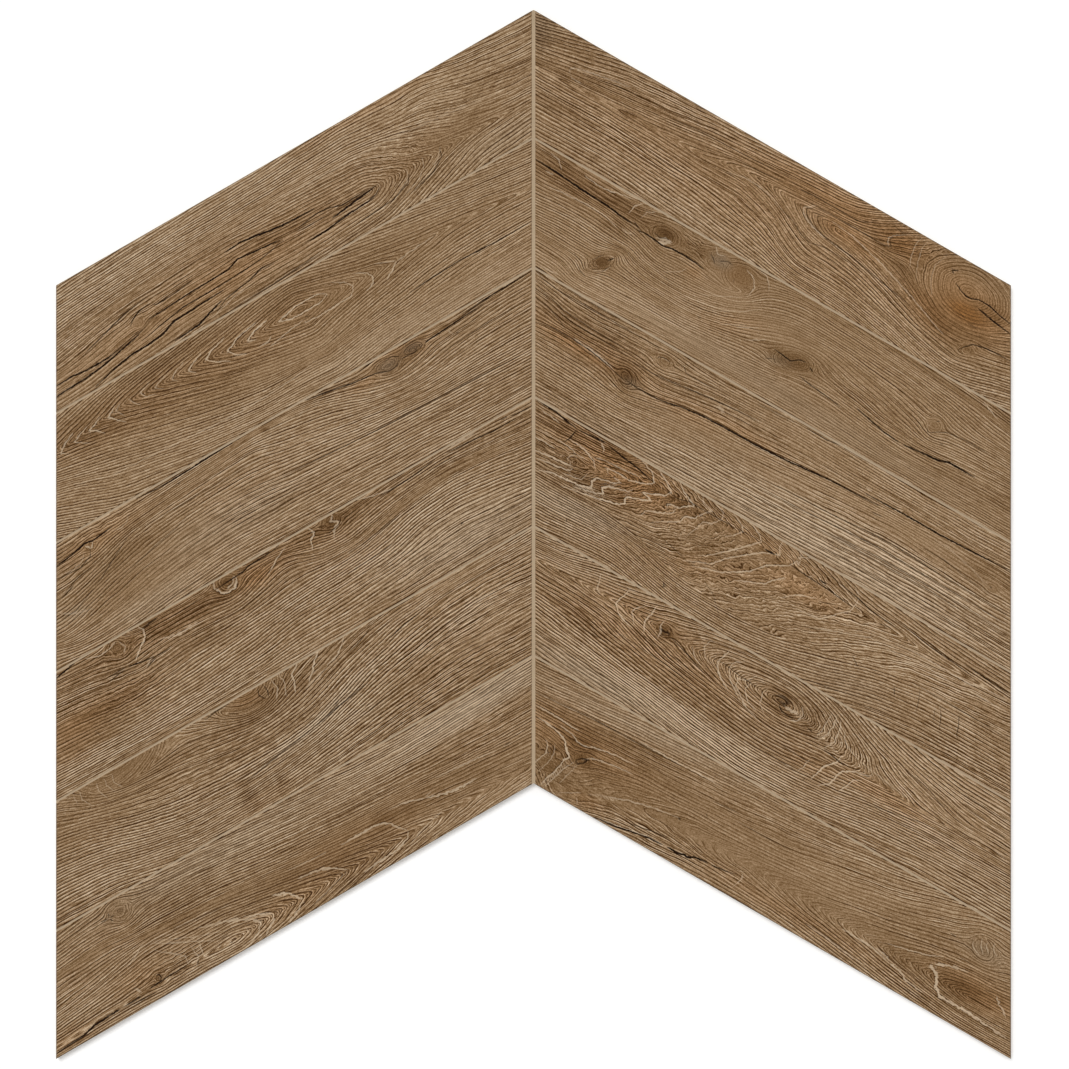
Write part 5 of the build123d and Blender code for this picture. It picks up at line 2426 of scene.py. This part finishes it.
RIGHT_3 = PlankGrain(
    guides=tracks(
        (0, -12, 30, -6, 150, -6, 285, -8, 400, -7, 560, -9),
        (0, 1, 25, 5, 60, 6, 130, 5, 200, 6, 285, 2, 330, 2, 400, 4, 560, 2),
        (10, 13, 30, 16, 45, 20, 110, 22, 150, 21, 200, 15, 260, 12, 330, 13, 460, 14, 560, 13),
        (12, 22, 30, 26, 50, 30, 110, 30, 150, 29, 185, 25, 220, 21, 285, 19, 340, 20, 450, 21, 560, 20),
        (25, 41, 40, 38, 60, 38, 80, 39, 100, 42, 122, 47, 150, 47, 180, 41, 210, 39, 290, 36, 330, 32,
         375, 30, 400, 28, 450, 28, 490, 28, 530, 31, 560, 33),
        (30, 56, 80, 55, 115, 58, 150, 57, 200, 53, 250, 50, 285, 47, 340, 43, 400, 39, 450, 41, 500, 45,
         560, 48),
        (40, 66, 100, 67, 130, 67, 160, 64, 200, 62, 285, 60, 340, 57, 400, 54, 460, 56, 530, 57, 560, 57),
        (45, 80, 130, 81, 200, 78, 285, 76, 340, 74, 400, 72, 460, 72, 540, 75, 560, 76),
        (50, 98, 200, 97, 285, 95, 400, 92, 540, 94, 560, 95),
    ),
    knots=(
        Knot((144, 14), (8, 5)), Knot((122, 44), (10, 7), 20), Knot((505, 43), (4, 3)),
        Knot((403, 24), (4, 2)),
    ),
    strokes=strokes(Ink.CRACK,
        (1.2, 0.6, 0, 1, 12, 4, 25, 6, 60, 6, 100, 5.5, 135, 5.5),
        (1.2, 0.55, 25, 0, 50, 1, 80, 1, 100, -1, 130, 0),
        (1.2, 0.6, 10, 13, 28, 16, 42, 19.5, 70, 21, 112, 22),
        (1.2, 0.5, 12, 22, 28, 24, 40, 28, 52, 34),
        (1.2, 0.6, 38, 21, 52, 25, 80, 25, 112, 26.5),
        (1.4, 0.7, 118, 28.5, 140, 28.5, 158, 27, 175, 24.5, 200, 21.5, 228, 19, 245, 18),
        (1.1, 0.6, 160, 8, 166, 13, 176, 13.5, 198, 12.5),
        (1.1, 0.6, 136, 15, 138, 12, 144, 11, 150, 12),
        (1.5, 0.75, 24, 41, 40, 38.5, 60, 38, 80, 39, 98, 42, 118, 46.5, 124, 48),
        (1.9, 1, 120, 46, 135, 47, 150, 47, 163, 45.5, 182, 41.3, 202, 39.3, 229, 38.4, 256, 38, 290, 35.8,
         328, 32, 369, 30.6, 378, 30),
        (1.8, 1, 362, 26.5, 400, 25.2, 440, 25.1, 478, 23.4, 512, 21.2),
        (1.3, 0.65, 275, 2, 297, 1.5, 305, 2, 320, 0, 354, 0.5),
        (1.1, 0.45, 235, 5, 260, 3, 285, 2),
        (1.3, 0.6, 112, 54, 118, 56),
        (1.3, 0.5, 375, 38, 387, 37),
        (1.2, 0.45, 432, 43, 455, 43, 480, 47, 505, 49, 508, 50),
        (1.4, 0.6, 502, 43, 505, 44),
        (1, 0.45, 150, 57, 165, 52, 178, 49),
        (1.3, 0.7, 275, 62, 300, 60, 350, 58, 385, 55, 410, 54.5, 450, 56, 530, 57.5),
        (1.3, 0.7, 275, 70, 310, 69, 350, 66, 395, 63, 450, 64, 500, 64.5, 535, 66),
        (1.1, 0.6, 275, 79, 330, 76, 395, 71, 450, 71, 490, 70.5, 540, 72),
        (1.1, 0.6, 300, 78, 380, 75, 450, 74, 500, 75, 541, 77),
        (1.8, 0.4, 490, 74, 510, 75, 541, 76),
    ) + strokes(Ink.LIME,
        (1, 0.7, 200, 38.7, 255, 38.7, 290, 37.5),
        (1.8, 0.7, 62, 37, 72, 38, 82, 38.5, 96, 41, 106, 43),
        (3, 0.35, 205, 25, 215, 27),
        (2, 0.4, 360, 21, 366, 22),
        (1.4, 0.4, 395, 24, 400, 23),
        (1.6, 0.25, 430, 31, 455, 32, 480, 37, 500, 44),
    ),
    patches=patches(Tone.WARM,
        (80, 36, 90, 16, 0.4), (75, 42, 50, 6, 0.5), (230, 34, 60, 6, 0.4), (185, 45, 40, 8, 0.3),
    ) + patches(Tone.GREY,
        (350, 76, 180, 26, 0.4), (128, 46, 12, 6, 0.6), (85, 39, 20, 3, 0.9, 6), (170, 94, 140, 8, 0.4),
        (380, 92, 150, 9, 0.5),
    ) + patches(Tone.DARK,
        (440, 68, 110, 13, -0.25), (330, 48, 50, 9, -0.25), (110, 90, 80, 14, 0.2), (60, 12, 50, 12, -0.1),
        (30, 36, 40, 12, 0.15), (430, 38, 110, 14, -0.15), (60, 62, 30, 12, 0.12), (360, 64, 180, 14, -0.3),
        (90, 88, 60, 14, 0.15), (400, 88, 160, 14, -0.25), (70, 24, 80, 28, 0.45, 8),
        (122, 43, 16, 12, 0.6), (500, 34, 40, 12, 0.3),
    ) + patches(Tone.LIMED,
        (240, 82, 100, 12, 0.7), (330, 70, 70, 10, 0.3),
    ) + patches(Tone.INKED,
        (240, 84, 90, 10, 0.3), (460, 80, 110, 14, 0.7),
    ) + patches(Tone.SOFT,
        (290, 12, 90, 14, 0.45), (470, 38, 90, 14, 0.55), (370, 36, 90, 12, 0.45), (250, 50, 110, 12, 0.45),
        (170, 62, 60, 12, 0.5), (430, 66, 110, 12, -0.4), (400, 88, 190, 14, -0.5),
    ),
    pitch=2.65,
    soft=0.03,
    shade=-0.08,
)

RIGHT_4 = PlankGrain(
    guides=tracks(
        (0, -2, 60, 0, 100, -2, 132, -34, 200, -40, 262, -38, 345, -14, 400, -10, 560, -8),
        (0, 22, 60, 20, 95, 12, 132, -4, 200, -5, 262, -4, 300, -2, 345, 8, 400, 11, 450, 13, 560, 14),
        (0, 34, 50, 33, 85, 27, 110, 19, 135, 13, 200, 12, 262, 13, 300, 16, 345, 19, 400, 20, 460, 22,
         560, 21),
        (20, 43, 80, 41, 110, 41, 150, 44, 200, 48, 260, 47, 300, 45, 345, 38, 400, 32, 450, 30, 560, 29),
        (25, 52, 60, 52, 100, 54, 150, 64, 200, 76, 260, 80, 300, 77, 350, 66, 400, 54, 440, 50, 560, 52),
        (40, 74, 130, 76, 200, 94, 260, 101, 330, 96, 400, 80, 450, 76, 560, 80),
        (50, 96, 130, 95, 200, 112, 330, 120, 420, 103, 560, 103),
    ),
    levels=(-30, -8, 0, 8, 16, 40, 62),
    hearts=(
        Heart((62, 32), left=(9, 0), right=(6, 260), roundness=1.2),
    ),
    strokes=strokes(Ink.CRACK,
        (1.8, 0.9, 0, 0, 22, 1, 40, 4, 48, 5),
        (1.9, 0.95, 47, 5, 60, 4, 70, 3, 78, 3),
        (1.7, 0.95, 76, 3, 95, 6, 112, 8, 125, 11, 134, 12.5),
        (1.1, 0.65, 132, 12, 158, 14, 168, 11, 200, 11, 230, 10, 244, 9),
        (1.6, 0.85, 47, 5, 46, 10, 45, 16, 42, 21),
        (2.2, 0.85, 249, 14, 260, 14),
        (1.6, 0.75, 275, 14.5, 292, 16, 318, 17, 345, 20),
        (2, 0.8, 306, 13, 311, 14, 314, 13),
        (1.2, 0.8, 312, 5, 330, 8, 346, 10.5, 360, 14, 372, 15, 395, 17),
        (1.2, 0.85, 383, 10.5, 400, 12, 424, 15.5, 450, 17.5, 473, 20),
        (1.4, 0.9, 459, 14, 478, 15, 508, 17),
        (1.3, 0.5, 315, 31, 330, 26),
        (1.1, 0.5, 372, 21, 384, 19),
        (1, 0.45, 155, 50, 168, 53, 185, 57, 198, 60),
        (0.9, 0.4, 215, 66, 230, 74, 238, 82, 246, 90),
        (1, 0.5, 435, 53, 439, 62, 443, 75),
        (1.2, 0.6, 459, 58, 464, 65, 469, 77),
        (0.9, 0.4, 455, 60, 461, 74),
        (1.2, 0.6, 477, 55, 482, 64, 485, 73, 488, 77),
        (0.9, 0.4, 500, 64, 504, 72),
        (1.4, 0.6, 414, 64, 418, 70),
        (1.1, 0.5, 366, 58, 371, 61, 377, 65),
        (1.8, 0.75, 184, 86, 187, 89, 185, 91),
        (1.2, 0.6, 189, 87, 187, 91),
        (2, 0.7, 79, 81, 81, 82),
        (2, 0.5, 357, 54, 359, 54),
        (1.2, 0.55, 340, 98, 365, 94, 390, 88),
        (1.2, 0.5, 425, 52, 450, 52, 500, 52, 530, 54),
    ) + strokes(Ink.LIME,
        (1.4, 0.7, 112, 0, 126, 5, 132, 12, 128, 16, 110, 22, 95, 21, 88, 22, 92, 26),
        (1.6, 0.85, 130, 0, 140, 5, 150, 12, 147, 17, 135, 22, 128, 25, 137, 27, 133, 30, 116, 36, 118, 42,
         112, 46, 90, 51, 60, 57),
        (1.5, 0.75, 152, 0, 160, 6, 174, 12, 168, 16, 163, 21, 158, 21, 152, 23, 154, 27),
        (1.4, 0.7, 161, 22, 160, 28, 150, 33, 138, 38, 136, 44),
        (1.4, 0.65, 176, 0, 180, 6, 190, 8, 184, 15, 180, 22, 172, 24, 170, 31, 158, 38, 148, 44),
        (1.3, 0.55, 188, 0, 200, 4, 202, 10, 196, 18, 188, 21, 186, 28, 182, 38),
        (1.3, 0.6, 208, 0, 220, 5, 224, 10, 218, 18, 212, 22),
        (1.4, 0.65, 228, 0, 240, 6, 243, 10, 230, 24, 215, 38, 206, 46, 200, 49),
        (1.4, 0.7, 260, 0, 260, 6, 264, 12, 250, 17, 235, 29, 222, 40, 214, 50, 190, 60),
        (1.5, 0.7, 280, 1, 280, 10, 276, 16, 258, 26, 248, 38, 226, 52, 200, 60),
        (1.5, 0.7, 296, 16, 283, 24, 272, 33, 264, 42, 240, 52),
        (1.5, 0.7, 290, 0, 281, 4, 284, 12),
        (1.4, 0.65, 300, 13, 292, 19, 280, 26, 278, 31),
        (1.4, 0.65, 345, 5, 346, 14, 345, 24, 338, 30, 325, 44, 300, 47),
        (1.2, 0.5, 338, 3, 345, 8),
        (1.4, 0.6, 285, 44, 296, 35, 312, 30),
        (1.2, 0.5, 360, 28, 372, 22),
        (1.3, 0.5, 318, 56, 350, 44, 372, 36, 385, 36),
        (1.4, 0.6, 395, 30, 410, 27, 440, 27, 472, 27, 484, 24, 510, 23),
        (1.2, 0.5, 385, 38, 420, 33, 460, 34),
        (1.3, 0.55, 470, 33, 516, 32),
        (1.3, 0.55, 16, 22, 38, 22, 46, 22, 56, 24, 60, 28),
        (1.6, 0.65, 16, 30, 38, 30),
        (1.5, 0.7, 45, 16, 60, 17, 74, 22, 79, 28),
        (1.6, 0.7, 20, 41, 45, 38, 58, 37, 56, 34),
        (1.5, 0.65, 28, 46, 50, 43, 60, 41, 61, 37),
        (1.6, 0.6, 52, 33, 54, 28, 60, 25, 66, 25),
        (1.9, 0.8, 98, 26, 105, 27, 100, 31, 85, 34, 82, 39, 85, 45, 75, 48, 45, 51, 35, 55),
        (1.4, 0.55, 75, 36, 73, 43, 55, 46),
        (1.8, 0.75, 118, 27, 115, 31, 97, 36, 93, 40, 97, 44, 90, 47, 70, 52),
        (1.3, 0.5, 72, 20, 80, 17, 100, 16, 118, 14, 120, 10),
        (1.6, 0.6, 72, 5, 77, 8, 78, 11),
        (1.4, 0.55, 10, 6, 30, 8),
        (1.4, 0.5, 68, 2, 76, 3),
    ),
    patches=patches(Tone.WARM,
        (100, 20, 100, 20, 0.4), (90, 10, 80, 20, 0.4), (120, 30, 50, 18, 0.35), (300, 28, 50, 14, 0.5),
        (250, 10, 60, 10, 0.35), (225, 50, 70, 16, 0.3, -20),
    ) + patches(Tone.GREY,
        (80, 70, 60, 12, 0.9, -6), (375, 82, 50, 16, 0.3),
    ) + patches(Tone.DARK,
        (185, 8, 40, 10, 0.3), (90, 56, 55, 16, 0.25), (465, 60, 40, 16, -0.32), (320, 26, 60, 10, -0.2),
        (90, 12, 110, 14, 0.15), (380, 12, 30, 12, -0.15), (490, 12, 50, 12, 0.1), (60, 38, 70, 14, 0.25),
        (380, 38, 110, 14, -0.2), (80, 62, 50, 14, 0.15), (60, 8, 80, 12, 0.45), (90, 40, 50, 12, 0.4, -6),
        (155, 18, 50, 8, 0.35), (205, 42, 18, 8, 0.4), (170, 62, 30, 12, 0.3),
    ) + patches(Tone.LIMED,
        (80, 70, 60, 12, 0.4), (370, 45, 120, 26, 0.45, -12), (480, 30, 60, 14, 0.3),
    ) + patches(Tone.INKED,
        (90, 84, 60, 12, 0.7), (470, 90, 90, 12, 1), (270, 92, 50, 12, 0.5, -14),
    ) + patches(Tone.RIPPLE,
        (150, 20, 110, 34, 0.6), (60, 30, 40, 20, 0.8), (300, 24, 70, 22, 0.6), (240, 60, 80, 24, 0.5),
    ) + patches(Tone.SOFT,
        (510, 88, 60, 14, -0.7), (80, 86, 40, 14, -0.4), (90, 12, 110, 14, -0.3),
    ),
    pitch=2.3,
    shade=0.08,
)

RIGHT_5 = PlankGrain(
    guides=tracks(
        (0, 2, 40, -1, 80, -8, 150, -14, 230, -18, 273, -16, 310, -12, 350, -4, 400, 6, 450, 10, 560, 10),
        (10, 15, 40, 13, 70, 8, 100, 7, 150, 7, 200, 7, 240, 7, 273, 8, 310, 10, 345, 18, 370, 23, 400, 27,
         430, 32, 460, 35, 560, 36),
        (10, 24, 60, 22, 100, 20, 150, 22, 200, 22, 240, 24, 273, 25, 310, 28, 345, 38, 380, 44, 420, 47,
         560, 49),
        (35, 50, 60, 49, 100, 48, 150, 47, 200, 46, 240, 47, 273, 50, 310, 51, 345, 54, 390, 56, 420, 55,
         560, 58),
        (40, 64, 100, 65, 150, 67, 200, 69, 273, 73, 320, 74, 350, 74, 400, 69, 450, 67, 560, 68),
        (50, 84, 120, 83, 160, 84, 220, 90, 273, 94, 330, 94, 400, 88, 450, 85, 560, 87),
        (55, 104, 150, 102, 273, 110, 400, 106, 560, 104),
    ),
    levels=(-40, -16, 0, 24, 44, 66, 84),
    hearts=(
        Heart((148, 22), left=(6, 90), right=(9, 90), roundness=1.5, level=21),
        Heart((273, 25), left=(4.2, 500), right=(2.5, 100), roundness=2),
    ),
    knots=(
        Knot((148, 22), (7, 5)),
    ),
    strokes=strokes(Ink.CRACK,
        (3.2, 0.6, 266, 22, 272, 20, 279, 22, 276, 26, 269, 25),
        (1.5, 0.8, 272, 28, 277, 32, 284, 33, 290, 33),
        (2.4, 0.75, 144, 22, 148, 23, 153, 22, 155, 25),
        (1.4, 0.7, 147, 27, 151, 26),
        (1.3, 0.65, 155, 24, 170, 28, 185, 33, 200, 38),
        (1.2, 0.6, 197, 21, 212, 21, 226, 23, 252, 25),
        (1.4, 0.6, 304, 33, 312, 35),
        (1.4, 0.75, 328, 43, 342, 45, 352, 47),
        (1.2, 0.6, 293, 59, 320, 60, 330, 58),
        (1.2, 0.5, 262, 73, 290, 72, 320, 73, 330, 71),
        (1.3, 0.6, 325, 77, 327, 75),
        (1.2, 0.5, 404, 22, 430, 27, 445, 33, 452, 34),
        (1.1, 0.5, 100, 44, 160, 48, 185, 50),
        (1.1, 0.5, 125, 35, 160, 38, 180, 40),
        (1.2, 0.5, 385, 67, 410, 62, 440, 56, 475, 55),
        (1, 0.4, 410, 68, 450, 63, 490, 62),
        (1.4, 0.5, 80, 58, 110, 57),
        (1.2, 0.4, 86, 50, 96, 56),
        (1.1, 0.4, 450, 15, 490, 16, 515, 15),
        (1.2, 0.45, 466, 25, 490, 26),
        (1.2, 0.45, 488, 30, 512, 30),
    ) + strokes(Ink.LIME,
        (1.5, 0.75, 108, 4, 102, 6, 101, 12, 98, 18, 98, 23, 104, 29, 120, 35),
        (1.3, 0.55, 72, 6, 75, 14, 76, 20, 82, 22),
        (1.4, 0.6, 122, 12, 115, 18, 114, 22, 118, 26, 121, 31),
        (1.7, 0.7, 131, 6, 131, 14, 129, 22, 130, 28, 133, 32),
        (1.7, 0.6, 144, 14, 143, 20, 146, 24, 146, 31),
        (1.2, 0.55, 178, 22, 184, 29, 193, 33),
        (1.3, 0.55, 190, 8, 187, 16, 192, 24, 198, 27),
        (1.6, 0.7, 209, 7, 207, 15, 204, 23, 212, 32, 225, 40),
        (1.3, 0.6, 226, 10, 218, 15, 216, 22, 224, 32, 240, 43),
        (1.4, 0.6, 242, 15, 236, 24, 228, 26, 230, 33, 245, 44, 262, 50),
        (1.3, 0.55, 241, 24, 238, 31, 246, 40, 258, 44),
        (1.3, 0.5, 256, 20, 254, 26, 257, 36, 264, 42),
        (3.4, 0.6, 278, 27, 285, 28, 291, 27),
        (1.8, 0.65, 292, 20, 296, 26, 294, 33, 287, 36),
        (1.3, 0.6, 318, 10, 318, 20, 318, 30, 316, 38),
        (1.4, 0.65, 323, 10, 325, 20, 324, 30, 320, 38),
        (1.5, 0.7, 328, 12, 332, 22, 333, 32, 328, 42),
        (1.2, 0.5, 336, 18, 340, 26, 350, 32, 362, 36),
        (1.8, 0.8, 345, 41, 344, 48, 336, 56, 334, 64, 331, 72),
        (1.7, 0.75, 378, 39, 376, 44, 362, 47, 352, 52, 350, 60, 348, 68, 340, 74),
        (1.4, 0.65, 372, 50, 365, 54, 363, 61, 359, 69),
        (1.5, 0.55, 321, 58, 320, 66, 317, 73),
        (1.1, 0.35, 360, 36, 390, 40, 420, 44),
    ),
    patches=patches(Tone.WARM,
        (160, 40, 160, 24, 0.3), (390, 52, 60, 9, 0.45), (130, 16, 60, 12, 0.3), (320, 62, 30, 10, 0.3),
    ) + patches(Tone.GREY,
        (150, 88, 120, 12, 0.4), (110, 93, 80, 10, 0.7), (190, 80, 60, 8, 0.4),
    ) + patches(Tone.DARK,
        (190, 68, 130, 11, 0.25), (430, 8, 80, 11, -0.2), (110, 28, 40, 10, -0.2), (50, 12, 70, 14, -0.12),
        (290, 12, 40, 12, 0.12), (460, 12, 100, 16, -0.2), (150, 38, 120, 12, 0.12), (290, 38, 30, 12, 0.2),
        (480, 38, 50, 12, -0.1), (170, 62, 70, 12, 0.15), (460, 62, 90, 12, -0.18),
        (130, 88, 70, 12, -0.12), (280, 88, 50, 12, -0.12), (490, 88, 90, 14, -0.3), (273, 24, 16, 12, 0.7),
        (306, 26, 14, 18, 0.4), (150, 24, 12, 8, 0.5), (80, 52, 40, 10, 0.45, 10), (140, 20, 50, 8, 0.25),
    ) + patches(Tone.LIMED,
        (130, 74, 100, 12, 0.9, 5), (230, 88, 80, 12, 0.6, 5), (440, 30, 120, 20, 0.3),
    ) + patches(Tone.INKED,
        (180, 48, 110, 12, 0.7, 10), (270, 80, 70, 14, 0.6), (520, 90, 70, 16, 0.5),
    ) + patches(Tone.RIPPLE,
        (125, 20, 50, 14, 0.5), (335, 50, 50, 26, 0.5), (320, 20, 30, 16, 0.3),
    ) + patches(Tone.SOFT,
        (260, 88, 60, 14, -0.6), (100, 56, 90, 20, -0.2), (460, 34, 80, 14, 0.3),
    ),
    pitch=2.4,
    soft=-0.25,
    shade=0.08,
)

RIGHT_6 = PlankGrain(
    guides=tracks(
        (0, 6, 60, 2, 120, -4, 200, -6, 285, -8, 400, -14, 560, -24),
        (10, 27, 60, 23, 115, 20, 165, 18, 205, 16, 285, 15, 400, 9, 480, 2, 560, -6),
        (20, 38, 60, 38, 90, 38, 130, 36, 200, 36, 285, 36, 400, 32, 480, 26, 560, 19),
        (25, 46, 55, 46, 80, 50, 100, 49, 130, 46, 200, 46, 285, 47, 400, 46, 480, 42, 560, 38),
        (30, 60, 60, 62, 78, 72, 92, 68, 130, 58, 180, 55, 285, 58, 400, 59, 450, 58, 560, 56),
        (40, 72, 60, 76, 76, 98, 90, 86, 130, 70, 180, 63, 230, 64, 285, 66, 400, 68, 450, 67, 560, 66),
        (45, 88, 66, 104, 85, 116, 110, 100, 150, 90, 200, 85, 260, 80, 360, 78, 410, 79, 450, 78, 560, 78),
        (50, 108, 90, 130, 150, 110, 230, 98, 300, 94, 400, 94, 560, 93),
    ),
    levels=(-4, 18, 32, 42, 55, 62, 76, 92),
    hearts=(
        Heart((497, 68), left=(3.6, 160), roundness=1.6),
    ),
    knots=(
        Knot((83, 60), (7, 4), -40), Knot((487, 26), (14, 9), 20, 6),
    ),
    strokes=strokes(Ink.CRACK,
        (1.3, 0.65, 14, 27, 40, 25, 70, 22, 115, 21, 140, 20, 165, 19),
        (1.2, 0.5, 205, 32, 232, 30),
        (1, 0.45, 234, 37, 262, 37, 286, 36),
        (1.8, 0.8, 80, 66, 79, 62, 83, 58, 88, 57, 86, 61, 80, 66),
        (2.4, 0.85, 186, 61, 188, 62),
        (1.9, 0.7, 206, 46, 208, 47),
        (1.6, 0.5, 105, 67, 107, 68),
        (2, 0.9, 118, 99, 138, 97, 158, 93, 172, 90.5, 190, 89.5),
        (2.4, 1, 186, 90, 195, 89, 200, 90, 206, 88, 211, 88, 216, 85, 226, 83.5, 232, 84),
        (1.6, 0.75, 230, 84, 245, 82, 256, 80),
        (1.3, 0.7, 148, 88, 160, 86, 175, 83, 188, 82),
        (0.9, 0.3, 90, 64, 110, 58, 130, 55),
        (1.2, 0.5, 330, 87, 345, 86, 360, 88, 385, 91),
        (1.1, 0.5, 440, 93, 470, 92),
        (1.1, 0.45, 470, 43, 484, 43),
        (1.2, 0.5, 452, 28, 460, 29),
        (1.1, 0.5, 505, 58, 515, 55),
    ) + strokes(Ink.LIME,
        (1.5, 0.65, 22, 37, 45, 37, 68, 38),
        (1.5, 0.65, 120, 19, 165, 18, 180, 17, 206, 17),
        (1.8, 0.75, 30, 46, 48, 47, 60, 51, 66, 58, 72, 63, 69, 68, 68, 78, 64, 90, 62, 98),
        (1.5, 0.6, 50, 42, 65, 44, 72, 47, 78, 48, 88, 44, 105, 41, 130, 39),
        (1.5, 0.55, 84, 59, 90, 54, 102, 51, 116, 49, 130, 48),
        (1.4, 0.55, 46, 60, 50, 64, 52, 70, 49, 78, 47, 84),
        (1.3, 0.45, 55, 60, 58, 66, 58, 76, 54, 88),
        (1.4, 0.5, 78, 65, 74, 72, 70, 84, 66, 98),
        (1.2, 0.4, 82, 66, 79, 76, 76, 88),
        (1.4, 0.5, 80, 96, 95, 87, 112, 80, 140, 70, 160, 65, 186, 61),
        (1.4, 0.45, 98, 86, 115, 80, 130, 76),
        (1.5, 0.5, 96, 92, 100, 96),
        (1.6, 0.7, 122, 98, 145, 95, 165, 90.5, 190, 89),
        (1.4, 0.5, 262, 76, 263, 82, 260, 90),
        (1.2, 0.4, 255, 76, 262, 74),
        (1.8, 0.65, 365, 74, 395, 75, 408, 77, 420, 80, 430, 81, 438, 86, 460, 88),
        (2.6, 0.5, 400, 74, 412, 76, 418, 79),
        (2.6, 0.75, 484, 51, 468, 54, 456, 59, 452, 63, 460, 67, 463, 71, 465, 77, 473, 83, 500, 83,
         545, 86),
        (2.6, 0.5, 452, 60, 458, 62),
        (1.5, 0.5, 408, 65, 425, 61, 445, 56, 458, 50),
        (1.8, 0.55, 518, 57, 523, 62, 530, 66, 535, 70),
        (1.4, 0.5, 335, 87, 360, 89, 385, 92, 400, 93),
        (1.5, 0.5, 480, 18, 482, 24, 488, 30),
        (1.3, 0.5, 486, 18, 487, 22, 492, 27),
        (1.3, 0.45, 492, 16, 494, 22, 500, 26),
        (1.4, 0.45, 474, 24, 478, 30, 486, 33),
    ),
    patches=patches(Tone.WARM,
        (70, 48, 80, 24, 0.6), (500, 60, 60, 16, 0.5), (500, 67, 40, 12, 0.3), (330, 85, 120, 10, 0.3),
        (105, 90, 20, 8, 0.4),
    ) + patches(Tone.GREY,
        (120, 8, 120, 9, 0.5, -4), (490, 28, 30, 10, 0.5),
    ) + patches(Tone.DARK,
        (80, 28, 50, 12, -0.22), (340, 48, 60, 12, -0.2), (250, 90, 90, 12, -0.18),
        (515, 70, 24, 12, -0.35), (460, 12, 90, 14, -0.15), (90, 38, 110, 14, 0.25),
        (370, 38, 60, 12, -0.12), (110, 62, 100, 14, 0.28), (440, 62, 60, 12, 0.15),
        (140, 88, 120, 14, 0.28), (330, 88, 120, 14, 0.15), (470, 88, 40, 12, 0.2),
        (80, 50, 24, 14, 0.5, 30), (60, 75, 24, 18, 0.4, 60), (90, 30, 80, 10, 0.3, -5),
        (495, 67, 44, 13, 0.65), (430, 72, 30, 8, 0.35),
    ) + patches(Tone.LIMED,
        (120, 10, 130, 12, 0.5, -4), (330, 20, 130, 20, 0.4, -4),
    ) + patches(Tone.INKED,
        (440, 94, 130, 6, 0.6),
    ) + patches(Tone.RIPPLE,
        (65, 70, 26, 26, 0.5), (455, 70, 40, 18, 0.6), (490, 25, 24, 14, 0.8),
    ) + patches(Tone.SOFT,
        (260, 38, 200, 14, 0.4), (300, 62, 240, 12, 0.55), (140, 90, 110, 12, -0.6),
        (400, 90, 150, 12, -0.35),
    ),
    pitch=2,
    soft=0.25,
    shade=0.05,
)

LEFT_GRAIN = (LEFT_1, LEFT_2, LEFT_3, LEFT_4, LEFT_5, LEFT_6)
RIGHT_GRAIN = (RIGHT_1, RIGHT_2, RIGHT_3, RIGHT_4, RIGHT_5, RIGHT_6)


def main() -> None:
    """Builds the panel's pieces in order and reports each one."""
    logging.basicConfig(level=logging.INFO, format="%(name)s: %(message)s")
    effects = SurfaceEffects()
    finishes = {
        "print": WoodPrint().material(effects),
        "biscuit": Biscuit().material(effects),
        "grout": SandyGrout().material(effects),
    }
    tree = PlankTree()
    places = []
    for name, side, drawings in (("left", -1, LEFT_GRAIN), ("right", 1, RIGHT_GRAIN)):
        for row, drawing in enumerate(drawings):
            place = PlankPlace(f"{name}_plank_{row + 1}", side, row)
            places.append(place)
            is_last = row + 1 == len(drawings)
            Plank(place, drawing, len(places), is_last).build(tree, finishes)
    Grout(places).build(finishes["grout"])
    Studio().build()
    log.info("panel built: %d planks", len(places))


if __name__ == "__main__":
    main()
